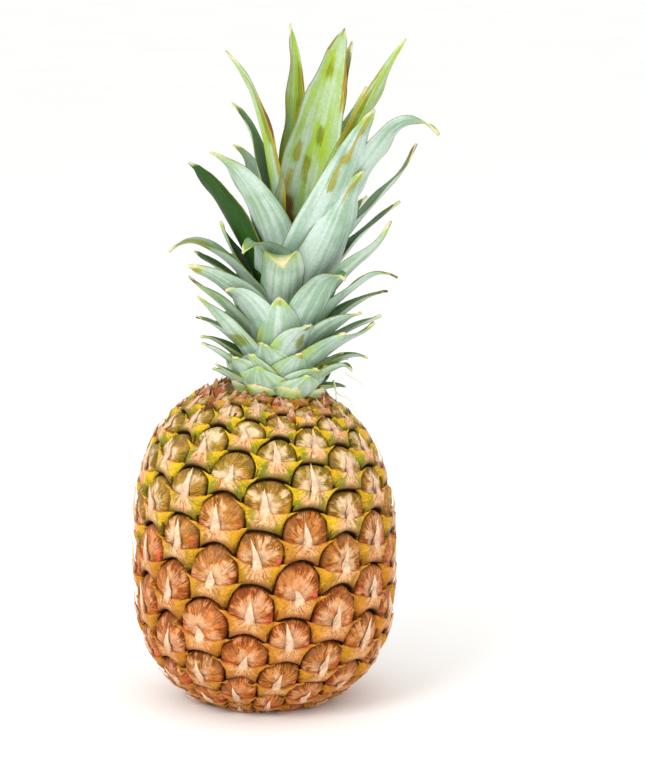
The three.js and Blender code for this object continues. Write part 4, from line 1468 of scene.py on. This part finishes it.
def scale_material(fruit):
    finish = Finish("dry scale", specular=0.2)
    ribs, _ = finish.use(long_fibres(), finish.layer("blade", "Vector"))
    broad, fine = finish.use(mottle(), 160.0, 800.0)
    _, rise, seed = finish.layer("scale", "Vector").split()
    red = seed.shifted(broad, 0.6).smooth(0.15, 0.75)
    surface = red.blend(fruit.scale_tan, fruit.dry_bract)
    pale = rise.shifted(ribs, 0.45).shifted(broad, 0.5)
    surface = pale.smooth(0.5, 1.05, 0.0, 0.8).blend(surface, fruit.spike)
    # Painted shade: the scales darken to the fleck colour towards their roots, in the gaps under the crown.
    surface = pale.smooth(0.5, 0.05).blend(surface, fruit.fleck).speckled(fine, 0.75, 1.15)
    rough = fine.smooth(0.0, 1.0, 0.6, 0.85)
    return finish.made(surface, rough, ribs.mean(fine, 0.4), 0.8, 0.0008)


def stalk_material(fruit):
    finish = Finish("cut stalk", specular=0.25)
    place = place_in(finish.tree)
    feeds = {0: place, 1: (80.0, 80.0, 20.0)}
    stretched = place.node("ShaderNodeVectorMath", feeds, operation="MULTIPLY")
    (fibres,) = finish.use(radial_fibres(), stretched, 7.0)
    broad, fine = finish.use(mottle(), 120.0, 900.0)
    bundles = place.node("ShaderNodeTexVoronoi", {"Vector": place, "Scale": 700.0}, "Distance")
    surface = fibres.blend(fruit.stalk_pale, fruit.stalk_tan)
    surface = (bundles.smooth(0.3, 0.1) * 0.6).blend(surface, fruit.stalk_bundle)
    surface = broad.smooth(0.3, 1.0, 0.0, 0.5).blend(surface, fruit.stalk_brown)
    rough = fine.smooth(0.0, 1.0, 0.7, 0.9)
    return finish.made(surface, rough, bundles + fine, 0.8, 0.0008)


def floor_material(stage):
    finish = Finish("pale floor", specular=0.2)
    broad, fine = finish.use(mottle(), 3.0, 40.0)
    surface = broad.blend(stage.floor_colour, [FLOOR_SHADE * c for c in stage.floor_colour])
    return finish.made(surface, fine.smooth(0.0, 1.0, 0.8, 0.9))


# ---- Stage --------------------------------------------------------------------------------------

FLOOR_RADIUS = 80.0
FLOOR_SIDES = 96
FLOOR_SHADE = 0.985  # how much darker the floor's faint patches are
LOOK_AT = Vector((0.027, 0.0, 0.148))
SENSOR = 36.0

# Lamps: the setting that holds their power, their size and their place.
LAMPS = {
    "key": ("key_power", 0.6, (-0.75, -1.0, 0.95)),
    "fill": ("fill_power", 0.9, (0.9, -1.0, 0.5)),
}


def build_floor(stage):
    mesh = bpy.data.meshes.new("floor")
    angles = np.linspace(0, TURN, FLOOR_SIDES, endpoint=False)
    ring = [(FLOOR_RADIUS * math.cos(a), FLOOR_RADIUS * math.sin(a), 0) for a in angles]
    mesh.from_pydata(ring, [], [tuple(range(FLOOR_SIDES))])
    mesh.materials.append(floor_material(stage))
    floor = bpy.data.objects.new("floor", mesh)
    bpy.context.scene.collection.objects.link(floor)


def build_lights(stage):
    scene = bpy.context.scene
    world = bpy.data.worlds.new("even light")
    world.use_nodes = True
    sky = world.node_tree.nodes["Background"]
    sky.inputs["Color"].default_value = (1, 1, 1, 1)
    sky.inputs["Strength"].default_value = stage.sky_strength
    scene.world = world
    for name, (power, size, place) in LAMPS.items():
        light = bpy.data.lights.new(name, "AREA")
        light.energy = getattr(stage, power)
        light.size = size
        lamp = bpy.data.objects.new(name, light)
        lamp.location = place
        lamp.rotation_euler = (LOOK_AT - lamp.location).to_track_quat("-Z", "Y").to_euler()
        scene.collection.objects.link(lamp)


def build_camera(stage):
    camera = bpy.data.cameras.new("camera")
    camera.sensor_width = SENSOR
    camera.lens = SENSOR * stage.camera_distance / stage.view_height
    camera.dof.use_dof = False
    eye = bpy.data.objects.new("camera", camera)
    look = Vector((0, math.cos(stage.camera_elevation), -math.sin(stage.camera_elevation)))
    eye.location = LOOK_AT - look * stage.camera_distance
    eye.rotation_euler = look.to_track_quat("-Z", "Y").to_euler()
    bpy.context.scene.collection.objects.link(eye)
    bpy.context.scene.camera = eye
    bpy.context.scene.view_settings.view_transform = "Standard"


# ---- Operators and panel ------------------------------------------------------------------------


class PINEAPPLE_OT_rind(bpy.types.Operator):
    """Build the skin of the fruit, with a raised eye in every cell"""

    bl_idname = "pineapple.rind"
    bl_label = "Rind"

    def execute(self, context):
        build_rind(context.scene.pineapple_fruit)
        return {"FINISHED"}


class PINEAPPLE_OT_bracts(bpy.types.Operator):
    """Build the horned, spiked scale over the lower part of every eye"""

    bl_idname = "pineapple.bracts"
    bl_label = "Bracts"

    def execute(self, context):
        build_bracts(context.scene.pineapple_fruit)
        return {"FINISHED"}


class PINEAPPLE_OT_collar(bpy.types.Operator):
    """Build the dry scales round the seat of the crown"""

    bl_idname = "pineapple.collar"
    bl_label = "Collar"

    def execute(self, context):
        build_collar(context.scene.pineapple_fruit)
        return {"FINISHED"}


class PINEAPPLE_OT_stalk(bpy.types.Operator):
    """Build the cut end of the stalk under the fruit"""

    bl_idname = "pineapple.stalk"
    bl_label = "Stalk"

    def execute(self, context):
        build_stalk(context.scene.pineapple_fruit)
        return {"FINISHED"}


class PINEAPPLE_OT_stem(bpy.types.Operator):
    """Build the stem in the middle of the crown"""

    bl_idname = "pineapple.stem"
    bl_label = "Crown stem"

    def execute(self, context):
        build_stem(context.scene.pineapple_crown)
        return {"FINISHED"}


class PINEAPPLE_OT_leaves(bpy.types.Operator):
    """Build the leaves of the crown in three tiers"""

    bl_idname = "pineapple.leaves"
    bl_label = "Leaves"

    def execute(self, context):
        build_leaves(context.scene.pineapple_crown)
        return {"FINISHED"}


class PINEAPPLE_OT_stage(bpy.types.Operator):
    """Set up the floor, the lights and the camera"""

    bl_idname = "pineapple.stage"
    bl_label = "Stage"

    def execute(self, context):
        stage = context.scene.pineapple_stage
        build_floor(stage)
        build_lights(stage)
        build_camera(stage)
        return {"FINISHED"}


OPERATORS = (
    PINEAPPLE_OT_stage,
    PINEAPPLE_OT_rind,
    PINEAPPLE_OT_bracts,
    PINEAPPLE_OT_collar,
    PINEAPPLE_OT_stalk,
    PINEAPPLE_OT_stem,
    PINEAPPLE_OT_leaves,
)
SETTINGS = {
    "pineapple_fruit": FruitSettings,
    "pineapple_crown": CrownSettings,
    "pineapple_stage": StageSettings,
}


class PINEAPPLE_PT_parts(bpy.types.Panel):
    """Lists the parts of the pineapple and what can be changed"""

    bl_idname = "PINEAPPLE_PT_parts"
    bl_label = "Pineapple"
    bl_space_type = "VIEW_3D"
    bl_region_type = "UI"
    bl_category = "Pineapple"

    def draw(self, context):
        column = self.layout.column()
        for operator in OPERATORS:
            column.operator(operator.bl_idname)
        for name, settings in SETTINGS.items():
            box = self.layout.box()
            box.label(text=name.replace("_", " ").capitalize())
            for key in settings.__annotations__:
                box.prop(getattr(context.scene, name), key)


CLASSES = (*SETTINGS.values(), *OPERATORS, PINEAPPLE_PT_parts)


def register():
    for cls in CLASSES:
        bpy.utils.register_class(cls)
    for name, settings in SETTINGS.items():
        setattr(bpy.types.Scene, name, bpy.props.PointerProperty(type=settings))


def unregister():
    for name in SETTINGS:
        delattr(bpy.types.Scene, name)
    for cls in reversed(CLASSES):
        bpy.utils.unregister_class(cls)


def main():
    register()
    for operator in OPERATORS:
        group, name = operator.bl_idname.split(".")
        getattr(getattr(bpy.ops, group), name)()


if __name__ == "__main__":
    main()
